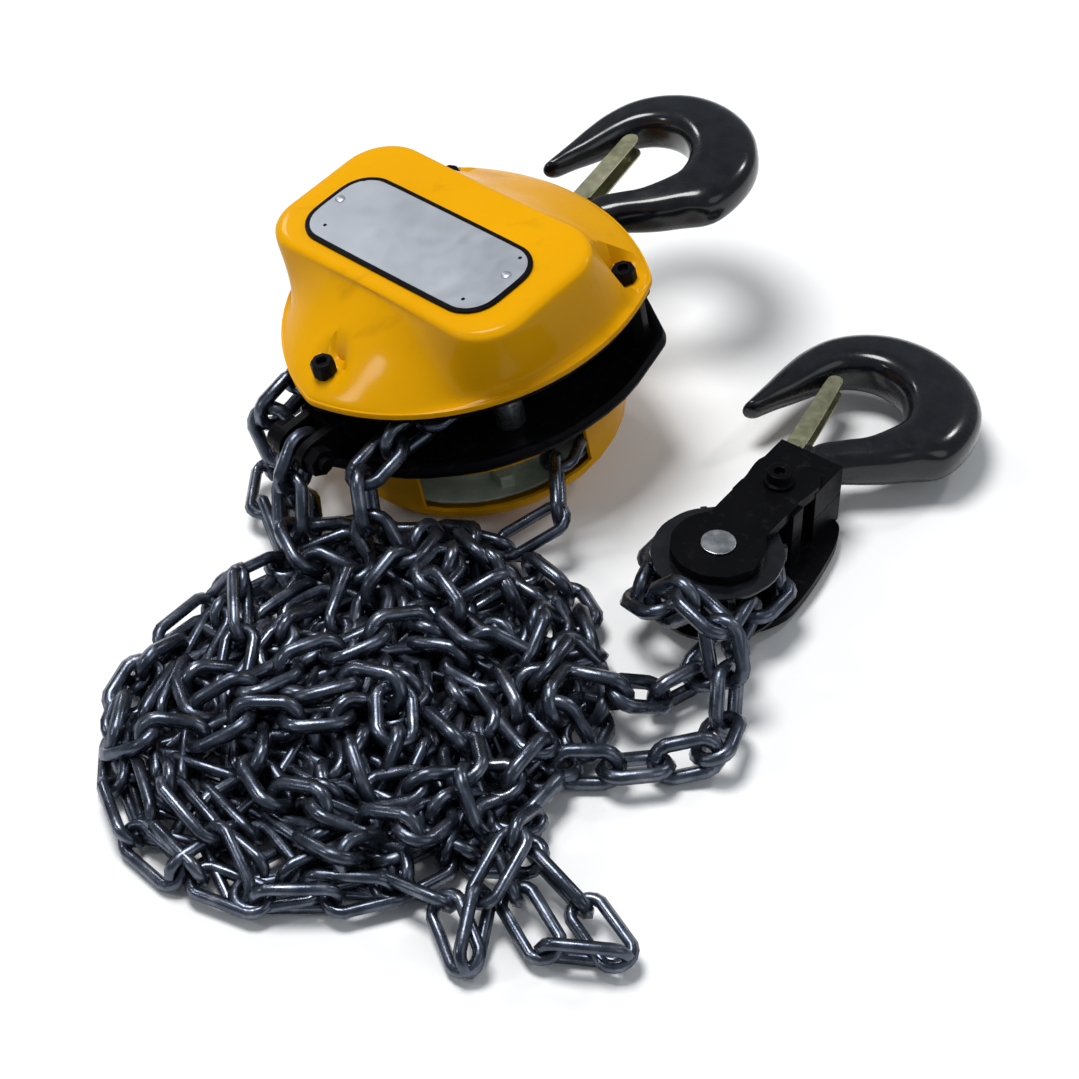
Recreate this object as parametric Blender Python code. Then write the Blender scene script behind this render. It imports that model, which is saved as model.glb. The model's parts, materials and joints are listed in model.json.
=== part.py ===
# Hand chain block for two falls of load chain, lying on the floor with its chains in a heap.
# Units are metres, +Z is up. The hoist is drawn in its own frame: the shaft runs along z, the
# gear cover faces +z, the top hook points to +y and the flange of the gear cover lies at z = 0.

import math

import bmesh
import bpy
from mathutils import Matrix, Vector
from mathutils.bvhtree import BVHTree

# Clearances
CLEARANCE = 0.0003
RUNNING_GAP = 0.0005

# How the pieces lie on the floor
BODY_PLACE = (-0.034, 0.060)
BODY_YAW = -47.0
BODY_ROLL = -9.5
BODY_PITCH = 3.0
BLOCK_PLACE = (0.068, -0.040)
BLOCK_YAW = -36.0
TOP_HOOK_SWING = 3.5

# Frame of the hoist
LOWER_STAY_DROP = 0.066
UPPER_STAY_RISE = 0.046
UPPER_STAY_SPREAD = 0.0515
CORNER_RADIUS = 0.0105
LONG_SIDE_RADIUS = 0.088
TOP_SIDE_RADIUS = 0.104
GEAR_PLATE_THICKNESS = 0.004
HAND_PLATE_THICKNESS = 0.003
SHEAVE_SPACE = 0.024
RIM_RISE = 0.0014
RIM_FALL = 0.0019
FLANGE_INSET = 0.0026
RIM_STAND_OUT = 0.0016
PLATE_INSET = 0.0015

# Gear cover and name plate
COVER_HEIGHT = 0.035
COVER_WALL = 0.0025
DOME_INSET = 0.0038
DOME_FILLET = 0.003
PLATEAU_HALF_WIDTH = 0.065
PLATEAU_TOP = 0.032
PLATEAU_BOTTOM = -0.040
PLATEAU_CORNER = 0.020
PLATEAU_EDGE = 0.006
PLATEAU_TURN = 3.0
NOTCH_RADIUS = 0.0085
PAD_HEIGHT = 0.009
NAME_PLATE_WIDTH = 0.102
NAME_PLATE_HEIGHT = 0.042
NAME_PLATE_CORNER = 0.014
NAME_PLATE_THICKNESS = 0.001
NAME_PLATE_CENTRE = -0.011

# Hand wheel cover
HAND_WHEEL_ROOM = 0.0019
DRUM_DEPTH = 0.0365
DRUM_WALL = 0.0018
DRUM_EDGE = 0.005
WINDOW_START = -65.0
WINDOW_END = 6.0
WINDOW_HEIGHT = 0.0195

# Stay bolts
STAY_RADIUS = 0.004
STAY_SHOULDER_RADIUS = 0.006
STAY_HEAD_RADIUS = 0.005
STAY_HEAD_HEIGHT = 0.006
SOCKET_RADIUS = 0.0023
SOCKET_DEPTH = 0.003
STAY_NUT_HEIGHT = 0.005
STAY_NUT_RADIUS = 0.0052

# Chains
LOAD_WIRE = 0.006
LOAD_PITCH = 0.018
LOAD_INNER_WIDTH = 0.008
HAND_WIRE = 0.005
HAND_PITCH = 0.025
HAND_INNER_WIDTH = 0.007

# Pocket wheels: the number of flat links that one turn takes
SHEAVE_POCKETS = 5
IDLER_POCKETS = 4
HAND_POCKETS = 6
SHEAVE_FLANGE_RADIUS = 0.0345
IDLER_FLANGE_RADIUS = 0.0265
HAND_FLANGE_RADIUS = 0.0565
FLANGE_THICKNESS = 0.0013

# Shafts and gears
SHAFT_RADIUS = 0.0055
JOURNAL_RADIUS = 0.013
BEARING_RADIUS = 0.018
SPLINE_RADIUS = 0.010
GEAR_MODULE = 0.002
PINION_TEETH = 6
DISC_TEETH = 22
SMALL_PINION_TEETH = 7
LOAD_GEAR_TEETH = 21
GEAR_FACE = 0.008
DISC_FACE = 0.006
GEAR_START = 0.003
COUNTER_SHAFT_RADIUS = 0.004

# Screw brake
BRAKE_HUB_THICKNESS = 0.0018
FRICTION_THICKNESS = 0.0015
FRICTION_RADIUS = 0.027
FRICTION_BORE = 0.0135
RATCHET_THICKNESS = 0.003
RATCHET_TEETH = 14
RATCHET_RADIUS = 0.034
RATCHET_TOOTH = 0.004
HUB_BOSS_RADIUS = 0.012
PAWL_PIN_DISTANCE = 0.045
PAWL_PIN_RADIUS = 0.0028
PAWL_LENGTH = 0.020
PAWL_TIP_RADIUS = 0.0012
PAWL_BACKLASH = 0.0015
WHEEL_NUT_RADIUS = 0.009
WHEEL_NUT_HEIGHT = 0.005

# Chain guides
ROLLER_RADIUS = 0.006
ROLLER_HEIGHT = -0.018
ROLLER_STUB_RADIUS = 0.003
STRIPPER_HALF_WIDTH = 0.012
STRIPPER_DEPTH = 0.012
STRIPPER_FINGER = 0.005

# Top hook mounting
TOP_PIN_HEIGHT = 0.051
TOP_PIN_RADIUS = 0.0055
YOKE_HALF_WIDTH = 0.013
YOKE_EYE_RADIUS = 0.0095
YOKE_REACH = 0.0225
YOKE_WALL = 0.007
YOKE_THICKNESS = 0.022
YOKE_SWING_ROOM = 0.045
HOOK_NUT_HEIGHT = 0.0075
HOOK_NUT_RADIUS = 0.0092

# Hooks and latches
HOOK_THROAT_RADIUS = 0.021
HOOK_DEPTH = 0.029
HOOK_HALF_THICKNESS = 0.011
HOOK_OFFSET = 0.006
TOP_HOOK_SHARE = 0.94
HOOK_SHANK_RADIUS = 0.008
HOOK_COLLAR_RADIUS = 0.0115
HOOK_COLLAR_HEIGHT = 0.004
HOOK_NECK = 0.039
LATCH_REST_ANGLE = 150.0
LATCH_LUG_RADIUS = 0.0048
LATCH_LUG_THICKNESS = 0.006
LATCH_LUG_REACH = 0.0135
LATCH_LUG_BACK = 0.0355
LATCH_WIDTH = 0.007
LATCH_WALL = 0.001
LATCH_RIVET_RADIUS = 0.0018

# Chain anchor
ANCHOR_GAP = 0.0095
ANCHOR_CHEEK = 0.004
ANCHOR_WIDTH = 0.014
ANCHOR_EYE_RADIUS = 0.0095
ANCHOR_BOLT_RADIUS = 0.0031
ANCHOR_HEAD_RADIUS = 0.006
ANCHOR_HEAD_HEIGHT = 0.005

# Bottom block
BLOCK_PLATE = 0.0045
BLOCK_SPACE = 0.0232
BLOCK_FOOT = 0.003
BLOCK_LOBE_RADIUS = 0.019
BLOCK_WAIST = 0.0125
BLOCK_NOSE_RADIUS = 0.0142
BLOCK_LENGTH = 0.048
BLOCK_HEAD_LENGTH = 0.020
BLOCK_SHANK_ROOM = 0.0057
BLOCK_HEAD_HALF_WIDTH = 0.0142
BLOCK_JAW_REACH = 0.028
BLOCK_BOLT_PLACE = 0.043
BLOCK_WALL_START = 0.0318
BLOCK_WALL_LENGTH = 0.007
BLOCK_WALL_THICKNESS = 0.006
BLOCK_POST_RADIUS = 0.007
AXLE_RADIUS = 0.007
AXLE_STAND_OUT = 0.001

# Heap of chain
HEAP_CENTRE = (-0.058, -0.113)
HEAP_HALF_WIDTH = 0.080
HEAP_HALF_DEPTH = 0.091
HEAP_HEIGHT = 0.036
HEAP_LOAD_LINKS = 11
HEAP_HAND_LINKS = 9

# Levels along the shaft, worked out from the sizes above
GEAR_PLATE_TOP = -CLEARANCE
GEAR_PLATE_LOW = GEAR_PLATE_TOP - GEAR_PLATE_THICKNESS
HAND_PLATE_TOP = GEAR_PLATE_LOW - SHEAVE_SPACE
HAND_PLATE_LOW = HAND_PLATE_TOP - HAND_PLATE_THICKNESS
DRUM_TOP = HAND_PLATE_LOW - CLEARANCE
DRUM_LOW = DRUM_TOP - DRUM_DEPTH
SHEAVE_MIDDLE = (GEAR_PLATE_LOW + HAND_PLATE_TOP) / 2
BRAKE_HUB_TOP = HAND_PLATE_LOW - RUNNING_GAP
FIRST_DISC_TOP = BRAKE_HUB_TOP - BRAKE_HUB_THICKNESS - CLEARANCE
RATCHET_TOP = FIRST_DISC_TOP - FRICTION_THICKNESS - CLEARANCE
SECOND_DISC_TOP = RATCHET_TOP - RATCHET_THICKNESS - CLEARANCE
WHEEL_TOP = SECOND_DISC_TOP - FRICTION_THICKNESS - CLEARANCE
DRUM_RADIUS = HAND_FLANGE_RADIUS + HAND_WHEEL_ROOM + DRUM_WALL
LOAD_WIDTH = LOAD_INNER_WIDTH + 2 * LOAD_WIRE
HAND_WIDTH = HAND_INNER_WIDTH + 2 * HAND_WIRE
WHEEL_HALF_WIDTH = HAND_WIDTH / 2 + CLEARANCE + FLANGE_THICKNESS
WHEEL_MIDDLE = WHEEL_TOP - WHEEL_HALF_WIDTH
COUNTER_DISTANCE = GEAR_MODULE * (PINION_TEETH + DISC_TEETH) / 2
BLOCK_MIDDLE = BLOCK_FOOT + BLOCK_PLATE + BLOCK_SPACE / 2
STAYS = (
    Vector((0, -LOWER_STAY_DROP)),
    Vector((UPPER_STAY_SPREAD, UPPER_STAY_RISE)),
    Vector((-UPPER_STAY_SPREAD, UPPER_STAY_RISE)),
)


def link_radius(pitch, pockets):
    # Distance from the wheel's axis to the points where its links meet
    return pitch / (2 * math.sin(math.pi / (2 * pockets)))


SHEAVE_RADIUS = link_radius(LOAD_PITCH, SHEAVE_POCKETS)
IDLER_RADIUS = link_radius(LOAD_PITCH, IDLER_POCKETS)
HAND_RADIUS = link_radius(HAND_PITCH, HAND_POCKETS)


# Finishes

def make_finish(name, colour, metallic, roughness):
    finish = bpy.data.materials.new(name)
    finish.use_nodes = True
    shader = finish.node_tree.nodes["Principled BSDF"]
    shader.inputs["Base Color"].default_value = (*colour, 1.0)
    shader.inputs["Metallic"].default_value = metallic
    shader.inputs["Roughness"].default_value = roughness
    return finish


# Shape helpers

def circle(radius, steps, centre=(0.0, 0.0), start=0.0):
    turn = 2 * math.pi / steps
    return [
        Vector((centre[0] + radius * math.cos(start + turn * i), centre[1] + radius * math.sin(start + turn * i)))
        for i in range(steps)
    ]


def arc(centre, radius, start, end, steps):
    angles = [start + (end - start) * i / steps for i in range(steps + 1)]
    return [Vector((centre[0] + radius * math.cos(a), centre[1] + radius * math.sin(a))) for a in angles]


def frame_outline(offset):
    # Rounded triangle: an arc round each stay bolt, and three long arcs that touch them from outside
    points = []
    for i, corner in enumerate(STAYS):
        following = STAYS[(i + 1) % 3]
        before = STAYS[(i + 2) % 3]
        side_radius = TOP_SIDE_RADIUS if i == 1 else LONG_SIDE_RADIUS
        radius_before = TOP_SIDE_RADIUS if i == 2 else LONG_SIDE_RADIUS
        centre = side_centre(corner, following, side_radius)
        centre_before = side_centre(before, corner, radius_before)
        start = angle_of(corner - centre_before)
        turn = (angle_of(corner - centre) - start) % (2 * math.pi)
        points += arc(corner, CORNER_RADIUS + offset, start, start + turn, 4)
        start = angle_of(corner - centre)
        turn = (angle_of(following - centre) - start) % (2 * math.pi)
        points += arc(centre, side_radius + offset, start, start + turn, 5)[1:-1]
    return points


def side_centre(first, second, radius):
    chord = second - first
    inward = Vector((-chord.y, chord.x)).normalized()
    reach = math.sqrt((radius - CORNER_RADIUS) ** 2 - (chord.length / 2) ** 2)
    return (first + second) / 2 + inward * reach


def angle_of(vector):
    return math.atan2(vector.y, vector.x)


def rounded_rectangle(left, right, low, high, radius, steps):
    corners = (
        (right - radius, low + radius, -90),
        (right - radius, high - radius, 0),
        (left + radius, high - radius, 90),
        (left + radius, low + radius, 180),
    )
    points = []
    for x, y, start in corners:
        points += arc((x, y), radius, math.radians(start), math.radians(start + 90), steps)
    return points


def swung(points):
    # The top of the gear cover and its plate are turned a little on the frame
    turn = Matrix.Rotation(math.radians(PLATEAU_TURN), 2)
    return [turn @ p for p in points]


def capsule(first, first_radius, second, second_radius, steps):
    # Outline of two circles with the straight lines that touch both
    along = second - first
    heading = angle_of(along)
    lean = math.acos((first_radius - second_radius) / along.length)
    points = arc(second, second_radius, heading - lean, heading + lean, steps)
    return points + arc(first, first_radius, heading + lean, heading - lean + 2 * math.pi, steps)


def spread(outline, centre, count):
    # The outline's points at even angles about a centre inside it
    rays = []
    for i in range(count):
        angle = 2 * math.pi * i / count
        ray = Vector((math.cos(angle), math.sin(angle)))
        reach = 0.0
        for a, b in zip(outline, outline[1:] + outline[:1]):
            side = b - a
            cross = ray.x * side.y - ray.y * side.x
            if abs(cross) < 1e-12:
                continue
            start = a - centre
            along = (start.x * side.y - start.y * side.x) / cross
            share = (start.x * ray.y - start.y * ray.x) / cross
            if along > 0 and -1e-9 <= share <= 1 + 1e-9:
                reach = max(reach, along)
        rays.append(centre + ray * reach)
    return rays


def level(outline, z):
    return [Vector((p.x, p.y, z)) for p in outline]


def loft(rings, joined=False):
    # Closed body through rings of equal count; joined links the last ring to the first
    shape = bmesh.new()
    loops = [[shape.verts.new(p) for p in ring] for ring in rings]
    pairs = list(zip(loops, loops[1:]))
    if joined:
        pairs.append((loops[-1], loops[0]))
    for low, high in pairs:
        for i in range(len(low)):
            j = (i + 1) % len(low)
            shape.faces.new((low[i], low[j], high[j], high[i]))
    if not joined:
        shape.faces.new(list(reversed(loops[0])))
        shape.faces.new(loops[-1])
    bmesh.ops.recalc_face_normals(shape, faces=shape.faces)
    return shape


def prism(outline, low, high):
    return loft([level(outline, low), level(outline, high)])


def turned(profile, steps, centre=(0.0, 0.0)):
    # Body turned about z from a closed profile of (radius, z) points that stays off the axis
    rings = []
    for i in range(steps):
        angle = 2 * math.pi * i / steps
        across = Vector((math.cos(angle), math.sin(angle), 0))
        rings.append([Vector((*centre, z)) + across * r for r, z in profile])
    return loft(rings, joined=True)


def stepped(sections, steps, centre=(0.0, 0.0)):
    # Solid turned body from (radius, z) steps, with a flat at each end
    return loft([level(circle(r, steps, centre), z) for r, z in sections])


def box(low, high):
    x0, y0, z0 = low
    x1, y1, z1 = high
    return prism([Vector((x0, y0)), Vector((x1, y0)), Vector((x1, y1)), Vector((x0, y1))], z0, z1)


def nut_of(name, radius, bore, low, high):
    nut = object_of(name, prism(circle(radius, 6), low, high))
    carve(nut, stepped([(bore, low - (high - low)), (bore, high + (high - low))], 14))
    return nut


def moved(shape, matrix):
    bmesh.ops.transform(shape, matrix=matrix, verts=shape.verts)
    return shape


def along_x(shape, place):
    return moved(shape, Matrix.Translation(place) @ Matrix.Rotation(math.pi / 2, 4, "Y"))


def along_y(shape, place):
    return moved(shape, Matrix.Translation(place) @ Matrix.Rotation(-math.pi / 2, 4, "X"))


def object_of(name, shape):
    mesh = bpy.data.meshes.new(name)
    shape.to_mesh(mesh)
    shape.free()
    thing = bpy.data.objects.new(name, mesh)
    bpy.context.scene.collection.objects.link(thing)
    return thing


def combine(thing, shape, operation):
    # Boolean with a helper that is used up
    helper = object_of("helper", shape)
    modifier = thing.modifiers.new(operation.lower(), "BOOLEAN")
    modifier.operation = operation
    modifier.object = helper
    modifier.solver = "EXACT"
    bpy.context.view_layer.update()
    graph = bpy.context.evaluated_depsgraph_get()
    mesh = bpy.data.meshes.new_from_object(thing.evaluated_get(graph))
    thing.modifiers.clear()
    old = thing.data
    thing.data = mesh
    bpy.data.meshes.remove(old)
    bpy.data.objects.remove(helper)


def carve(thing, *shapes):
    for shape in shapes:
        combine(thing, shape, "DIFFERENCE")


def join(thing, *shapes):
    for shape in shapes:
        combine(thing, shape, "UNION")


def place(thing, finish, parent, pivot=(0.0, 0.0, 0.0)):
    # Puts the object's origin on its pivot, under its parent's frame
    thing.data.transform(Matrix.Translation(-Vector(pivot)))
    thing.location = pivot
    thing.parent = parent
    thing.data.materials.clear()
    thing.data.materials.append(finish)
    thing.data.shade_smooth()
    thing.data.set_sharp_from_angle(angle=math.radians(32))
    return thing


def empty(name, location, rotation, parent=None):
    thing = bpy.data.objects.new(name, None)
    bpy.context.scene.collection.objects.link(thing)
    thing.location = location
    thing.rotation_mode = "QUATERNION"
    thing.rotation_quaternion = rotation.to_quaternion()
    thing.parent = parent
    return thing


# Hoist frame and covers

def make_gear_cover(finish, parent):
    steps = 36
    centre = Vector((0.0, -0.006))
    plateau = swung(rounded_rectangle(
        -PLATEAU_HALF_WIDTH, PLATEAU_HALF_WIDTH, PLATEAU_BOTTOM, PLATEAU_TOP, PLATEAU_CORNER, 4
    ))

    def dome(shrink, low, flange):
        top = COVER_HEIGHT - shrink
        edge = spread(plateau, centre, steps)
        foot = spread(frame_outline(-DOME_INSET - shrink), centre, steps)
        rim = spread(frame_outline(-DOME_INSET - shrink + DOME_FILLET), centre, steps)
        wall = [p - (p - centre).normalized() * shrink for p in edge]
        inset = [p - (p - centre).normalized() * PLATEAU_EDGE for p in wall]
        soft = [a.lerp(b, 0.72) for a, b in zip(inset, wall)]
        rings = [
            level(inset, top),
            level(soft, top - PLATEAU_EDGE * 0.18),
            level(wall, top - PLATEAU_EDGE * 0.75),
            level([a.lerp(b, 0.42) for a, b in zip(wall, foot)], (top + COVER_WALL) * 0.5),
            level(foot, COVER_WALL - shrink + DOME_FILLET),
        ]
        if flange:
            outer = spread(frame_outline(0.0), centre, steps)
            rings += [level(rim, COVER_WALL), level(outer, COVER_WALL), level(outer, low)]
        else:
            rings += [level(rim, -COVER_WALL)]
        return loft(rings)

    def pockets(grow, top):
        shapes = []
        for i, stay in enumerate(STAYS):
            low = PAD_HEIGHT if i == 0 else COVER_WALL
            shapes.append(stepped([(NOTCH_RADIUS + grow, low - grow), (NOTCH_RADIUS + grow, top)], 12, stay))
        return shapes

    cover = object_of("gear_cover", dome(0.0, 0.0, True))
    carve(cover, *pockets(0.0, COVER_HEIGHT + COVER_WALL))
    hollow = object_of("hollow", dome(COVER_WALL, 0.0, False))
    carve(hollow, *pockets(COVER_WALL, COVER_HEIGHT + COVER_WALL))
    inside = bmesh.new()
    inside.from_mesh(hollow.data)
    bpy.data.objects.remove(hollow)
    carve(cover, inside)
    for stay in STAYS:
        hole = STAY_RADIUS + CLEARANCE
        carve(cover, stepped([(hole, -COVER_WALL), (hole, PAD_HEIGHT + COVER_WALL)], 10, stay))
    return place(cover, finish, parent)


def make_name_plate(finish, parent):
    half = NAME_PLATE_WIDTH / 2
    low = NAME_PLATE_CENTRE - NAME_PLATE_HEIGHT / 2
    outline = swung(rounded_rectangle(-half, half, low, low + NAME_PLATE_HEIGHT, NAME_PLATE_CORNER, 5))
    seat = COVER_HEIGHT + CLEARANCE
    return place(object_of("name_plate", prism(outline, seat, seat + NAME_PLATE_THICKNESS)), finish, parent)


def drill(thing, places, radius, low, high, steps=10):
    for spot in places:
        carve(thing, stepped([(radius, low), (radius, high)], steps, spot))


def plate_holes(thing, low, high):
    drill(thing, STAYS, STAY_RADIUS + CLEARANCE, low, high)
    drill(thing, [Vector((0, 0))], BEARING_RADIUS + CLEARANCE, low, high, 20)
    drill(thing, [Vector((0, TOP_PIN_HEIGHT))], TOP_PIN_RADIUS + CLEARANCE, low, high)
    rollers = [Vector((side * roller_spread(), ROLLER_HEIGHT)) for side in (-1, 1)]
    drill(thing, rollers, ROLLER_STUB_RADIUS + CLEARANCE, low, high, 10)


def make_gear_side_plate(finish, parent):
    plate = object_of("gear_side_plate", prism(frame_outline(-PLATE_INSET), GEAR_PLATE_LOW, GEAR_PLATE_TOP))
    plate_holes(plate, GEAR_PLATE_LOW - CLEARANCE, GEAR_PLATE_TOP + CLEARANCE)
    counters = [Vector((side * COUNTER_DISTANCE, 0)) for side in (-1, 1)]
    drill(plate, counters, COUNTER_SHAFT_RADIUS + CLEARANCE, GEAR_PLATE_LOW - CLEARANCE, CLEARANCE)
    return place(plate, finish, parent)


def make_hand_side_plate(finish, parent):
    # A pressed plate with a bead rolled round its rim
    half = HAND_PLATE_THICKNESS / 2
    rings = [
        level(frame_outline(-0.009), HAND_PLATE_LOW),
        level(frame_outline(-0.0019), HAND_PLATE_LOW),
        level(frame_outline(-0.0014), HAND_PLATE_LOW - RIM_FALL * 0.7),
        level(frame_outline(0.0), HAND_PLATE_LOW - RIM_FALL),
        level(frame_outline(RIM_STAND_OUT * 0.8), HAND_PLATE_LOW - RIM_FALL * 0.3),
        level(frame_outline(RIM_STAND_OUT), HAND_PLATE_LOW + half),
        level(frame_outline(RIM_STAND_OUT * 0.4), HAND_PLATE_TOP + RIM_RISE),
        level(frame_outline(-0.0012), HAND_PLATE_TOP + RIM_RISE),
        level(frame_outline(-0.005), HAND_PLATE_TOP),
    ]
    plate = object_of("hand_side_plate", loft(rings))
    reach = YOKE_SWING_ROOM
    carve(plate, box((-reach, TOP_PIN_HEIGHT - 0.008, HAND_PLATE_TOP), (reach, TOP_PIN_HEIGHT + 0.03, SHEAVE_MIDDLE)))
    low = HAND_PLATE_LOW - RIM_FALL
    plate_holes(plate, low, HAND_PLATE_TOP + RIM_RISE)
    pins = [pawl_place(i) for i in range(2)]
    drill(plate, pins, PAWL_PIN_RADIUS + CLEARANCE, low, HAND_PLATE_TOP + RIM_RISE)
    return place(plate, finish, parent)


def make_hand_wheel_cover(finish, parent):
    steps = 32
    flange = spread(frame_outline(-FLANGE_INSET), Vector((0, 0)), steps)
    inner = DRUM_RADIUS - DRUM_WALL

    def ring(radius, z):
        return level(circle(radius, steps), z)

    rings = [
        ring(DRUM_RADIUS - 2 * DRUM_EDGE, DRUM_LOW),
        ring(DRUM_RADIUS - DRUM_EDGE, DRUM_LOW + DRUM_EDGE * 0.12),
        ring(DRUM_RADIUS - DRUM_EDGE * 0.3, DRUM_LOW + DRUM_EDGE * 0.45),
        ring(DRUM_RADIUS, DRUM_LOW + DRUM_EDGE),
        ring(DRUM_RADIUS, DRUM_TOP - DRUM_WALL),
        level(flange, DRUM_TOP - DRUM_WALL),
        level(flange, DRUM_TOP),
        ring(inner, DRUM_TOP),
        ring(inner, DRUM_LOW + DRUM_EDGE + DRUM_WALL * 0.3),
        ring(inner - DRUM_EDGE * 0.5, DRUM_LOW + DRUM_WALL),
    ]
    cover = object_of("hand_wheel_cover", loft(rings))
    drill(cover, STAYS, STAY_RADIUS + CLEARANCE, DRUM_TOP - 2 * DRUM_WALL, DRUM_TOP + CLEARANCE)
    low = WHEEL_MIDDLE - WINDOW_HEIGHT / 2
    for start, end in ((WINDOW_START, WINDOW_END), (180 - WINDOW_END, 180 - WINDOW_START)):
        outside = arc((0, 0), DRUM_RADIUS * 1.1, math.radians(start), math.radians(end), 10)
        inside = arc((0, 0), inner * 0.95, math.radians(end), math.radians(start), 10)
        carve(cover, prism(outside + inside, low, low + WINDOW_HEIGHT))
    drill(cover, [Vector((0, 0))], WHEEL_NUT_RADIUS + 0.004, DRUM_LOW - CLEARANCE, DRUM_LOW + 2 * DRUM_WALL, 20)
    return place(cover, finish, parent)


def make_stay_bolts(finish, parent):
    for i, stay in enumerate(STAYS):
        seat = PAD_HEIGHT if i == 0 else COVER_WALL
        head = seat + CLEARANCE
        nut = DRUM_TOP - DRUM_WALL - CLEARANCE
        sections = [
            (STAY_NUT_RADIUS, nut - STAY_NUT_HEIGHT),
            (STAY_NUT_RADIUS, nut),
            (STAY_RADIUS, nut),
            (STAY_RADIUS, HAND_PLATE_TOP + CLEARANCE),
            (STAY_SHOULDER_RADIUS, HAND_PLATE_TOP + CLEARANCE),
            (STAY_SHOULDER_RADIUS, GEAR_PLATE_LOW - CLEARANCE),
            (STAY_RADIUS, GEAR_PLATE_LOW - CLEARANCE),
            (STAY_RADIUS, head),
            (STAY_HEAD_RADIUS, head),
            (STAY_HEAD_RADIUS, head + STAY_HEAD_HEIGHT * 0.75),
            (STAY_HEAD_RADIUS * 0.85, head + STAY_HEAD_HEIGHT),
            (SOCKET_RADIUS, head + STAY_HEAD_HEIGHT),
            (SOCKET_RADIUS, head + STAY_HEAD_HEIGHT - SOCKET_DEPTH),
        ]
        place(object_of(f"stay_bolt_{i + 1}", stepped(sections, 8, stay)), finish, parent)


# Pocket wheels and the shaft line

def pocket_wheel(name, pitch, wire, width, pockets, bore, flange_radius, middle, hub=()):
    # Flat links lie on the seat between the flanges, upright links run in the groove,
    # and pairs of teeth stand between the ends of neighbouring flat links
    flat = link_radius(pitch, pockets) * math.cos(math.pi / (2 * pockets))
    seat = flat - wire / 2 - RUNNING_GAP
    root = flat - width / 2 - RUNNING_GAP
    groove = wire / 2 + 2 * RUNNING_GAP
    inner = width / 2 + CLEARANCE
    outer = inner + FLANGE_THICKNESS
    lower = [(bore, middle - outer)]
    upper = [(bore, middle + outer)]
    if hub:
        lower = [(bore, hub[0]), (hub[2], hub[0]), (hub[2], middle - outer)]
        upper = [(hub[2], middle + outer), (hub[2], hub[1]), (hub[3], hub[1]), (hub[3], hub[4]), (bore, hub[4])]
    profile = lower + [
        (flange_radius, middle - outer),
        (flange_radius, middle - inner),
        (seat, middle - inner),
        (seat, middle - groove),
        (root, middle - groove),
        (root, middle + groove),
        (seat, middle + groove),
        (seat, middle + inner),
        (flange_radius, middle + inner),
        (flange_radius, middle + outer),
    ] + upper
    wheel = object_of(name, turned(profile, 3 * pockets))
    half_length = pitch / 2 + wire
    half_turn = math.pi / pockets - math.atan2(half_length, flat) - 2 * RUNNING_GAP / flat
    tooth_top = flat + wire * 0.9
    sink = wire * 0.2
    for i in range(pockets):
        turn = math.pi / pockets * (2 * i + 1)
        base = half_turn * 0.95
        tip = half_turn * 0.35
        flank = [
            Vector(((seat - sink) * math.cos(turn - base), (seat - sink) * math.sin(turn - base))),
            Vector((tooth_top * math.cos(turn - tip), tooth_top * math.sin(turn - tip))),
            Vector((tooth_top * math.cos(turn + tip), tooth_top * math.sin(turn + tip))),
            Vector(((seat - sink) * math.cos(turn + base), (seat - sink) * math.sin(turn + base))),
        ]
        for low, high in ((-inner - FLANGE_THICKNESS / 2, -groove), (groove, inner + FLANGE_THICKNESS / 2)):
            join(wheel, prism(flank, middle + low, middle + high))
    return wheel


def gear_outline(teeth, centre=(0.0, 0.0), phase=0.0):
    radius = GEAR_MODULE * teeth / 2
    root = radius - 1.25 * GEAR_MODULE
    tip = radius + 0.75 * GEAR_MODULE
    turn = 2 * math.pi / teeth
    points = []
    for i in range(teeth):
        middle = phase + turn * i
        for r, share in ((tip, -0.06), (tip, 0.06), (root, 0.5)):
            angle = middle + share * turn
            points.append(Vector((centre[0] + r * math.cos(angle), centre[1] + r * math.sin(angle))))
    return points


def make_load_sheave(finish, parent):
    # The hub runs in both bearings and carries the load gear on its upper end
    hub = (HAND_PLATE_LOW, GEAR_START - RUNNING_GAP, JOURNAL_RADIUS, SPLINE_RADIUS, GEAR_START + GEAR_FACE)
    wheel = pocket_wheel(
        "load_sheave", LOAD_PITCH, LOAD_WIRE, LOAD_WIDTH, SHEAVE_POCKETS, SHAFT_RADIUS + RUNNING_GAP,
        SHEAVE_FLANGE_RADIUS, SHEAVE_MIDDLE, hub,
    )
    return place(wheel, finish, parent)


def make_load_gear(finish, parent):
    gear = object_of("load_gear", prism(gear_outline(LOAD_GEAR_TEETH), GEAR_START, GEAR_START + GEAR_FACE))
    bore = SPLINE_RADIUS + CLEARANCE
    carve(gear, stepped([(bore, 0), (bore, GEAR_START + 2 * GEAR_FACE)], 20))
    return place(gear, finish, parent)


def disc_level():
    return GEAR_START + GEAR_FACE + 2 * RUNNING_GAP


def mesh_phase(teeth, side):
    # A tooth of the middle gear faces the gear beside it, or a gap if its count is odd and it is at -x
    return 0 if side < 0 and teeth % 2 else 1


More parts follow.
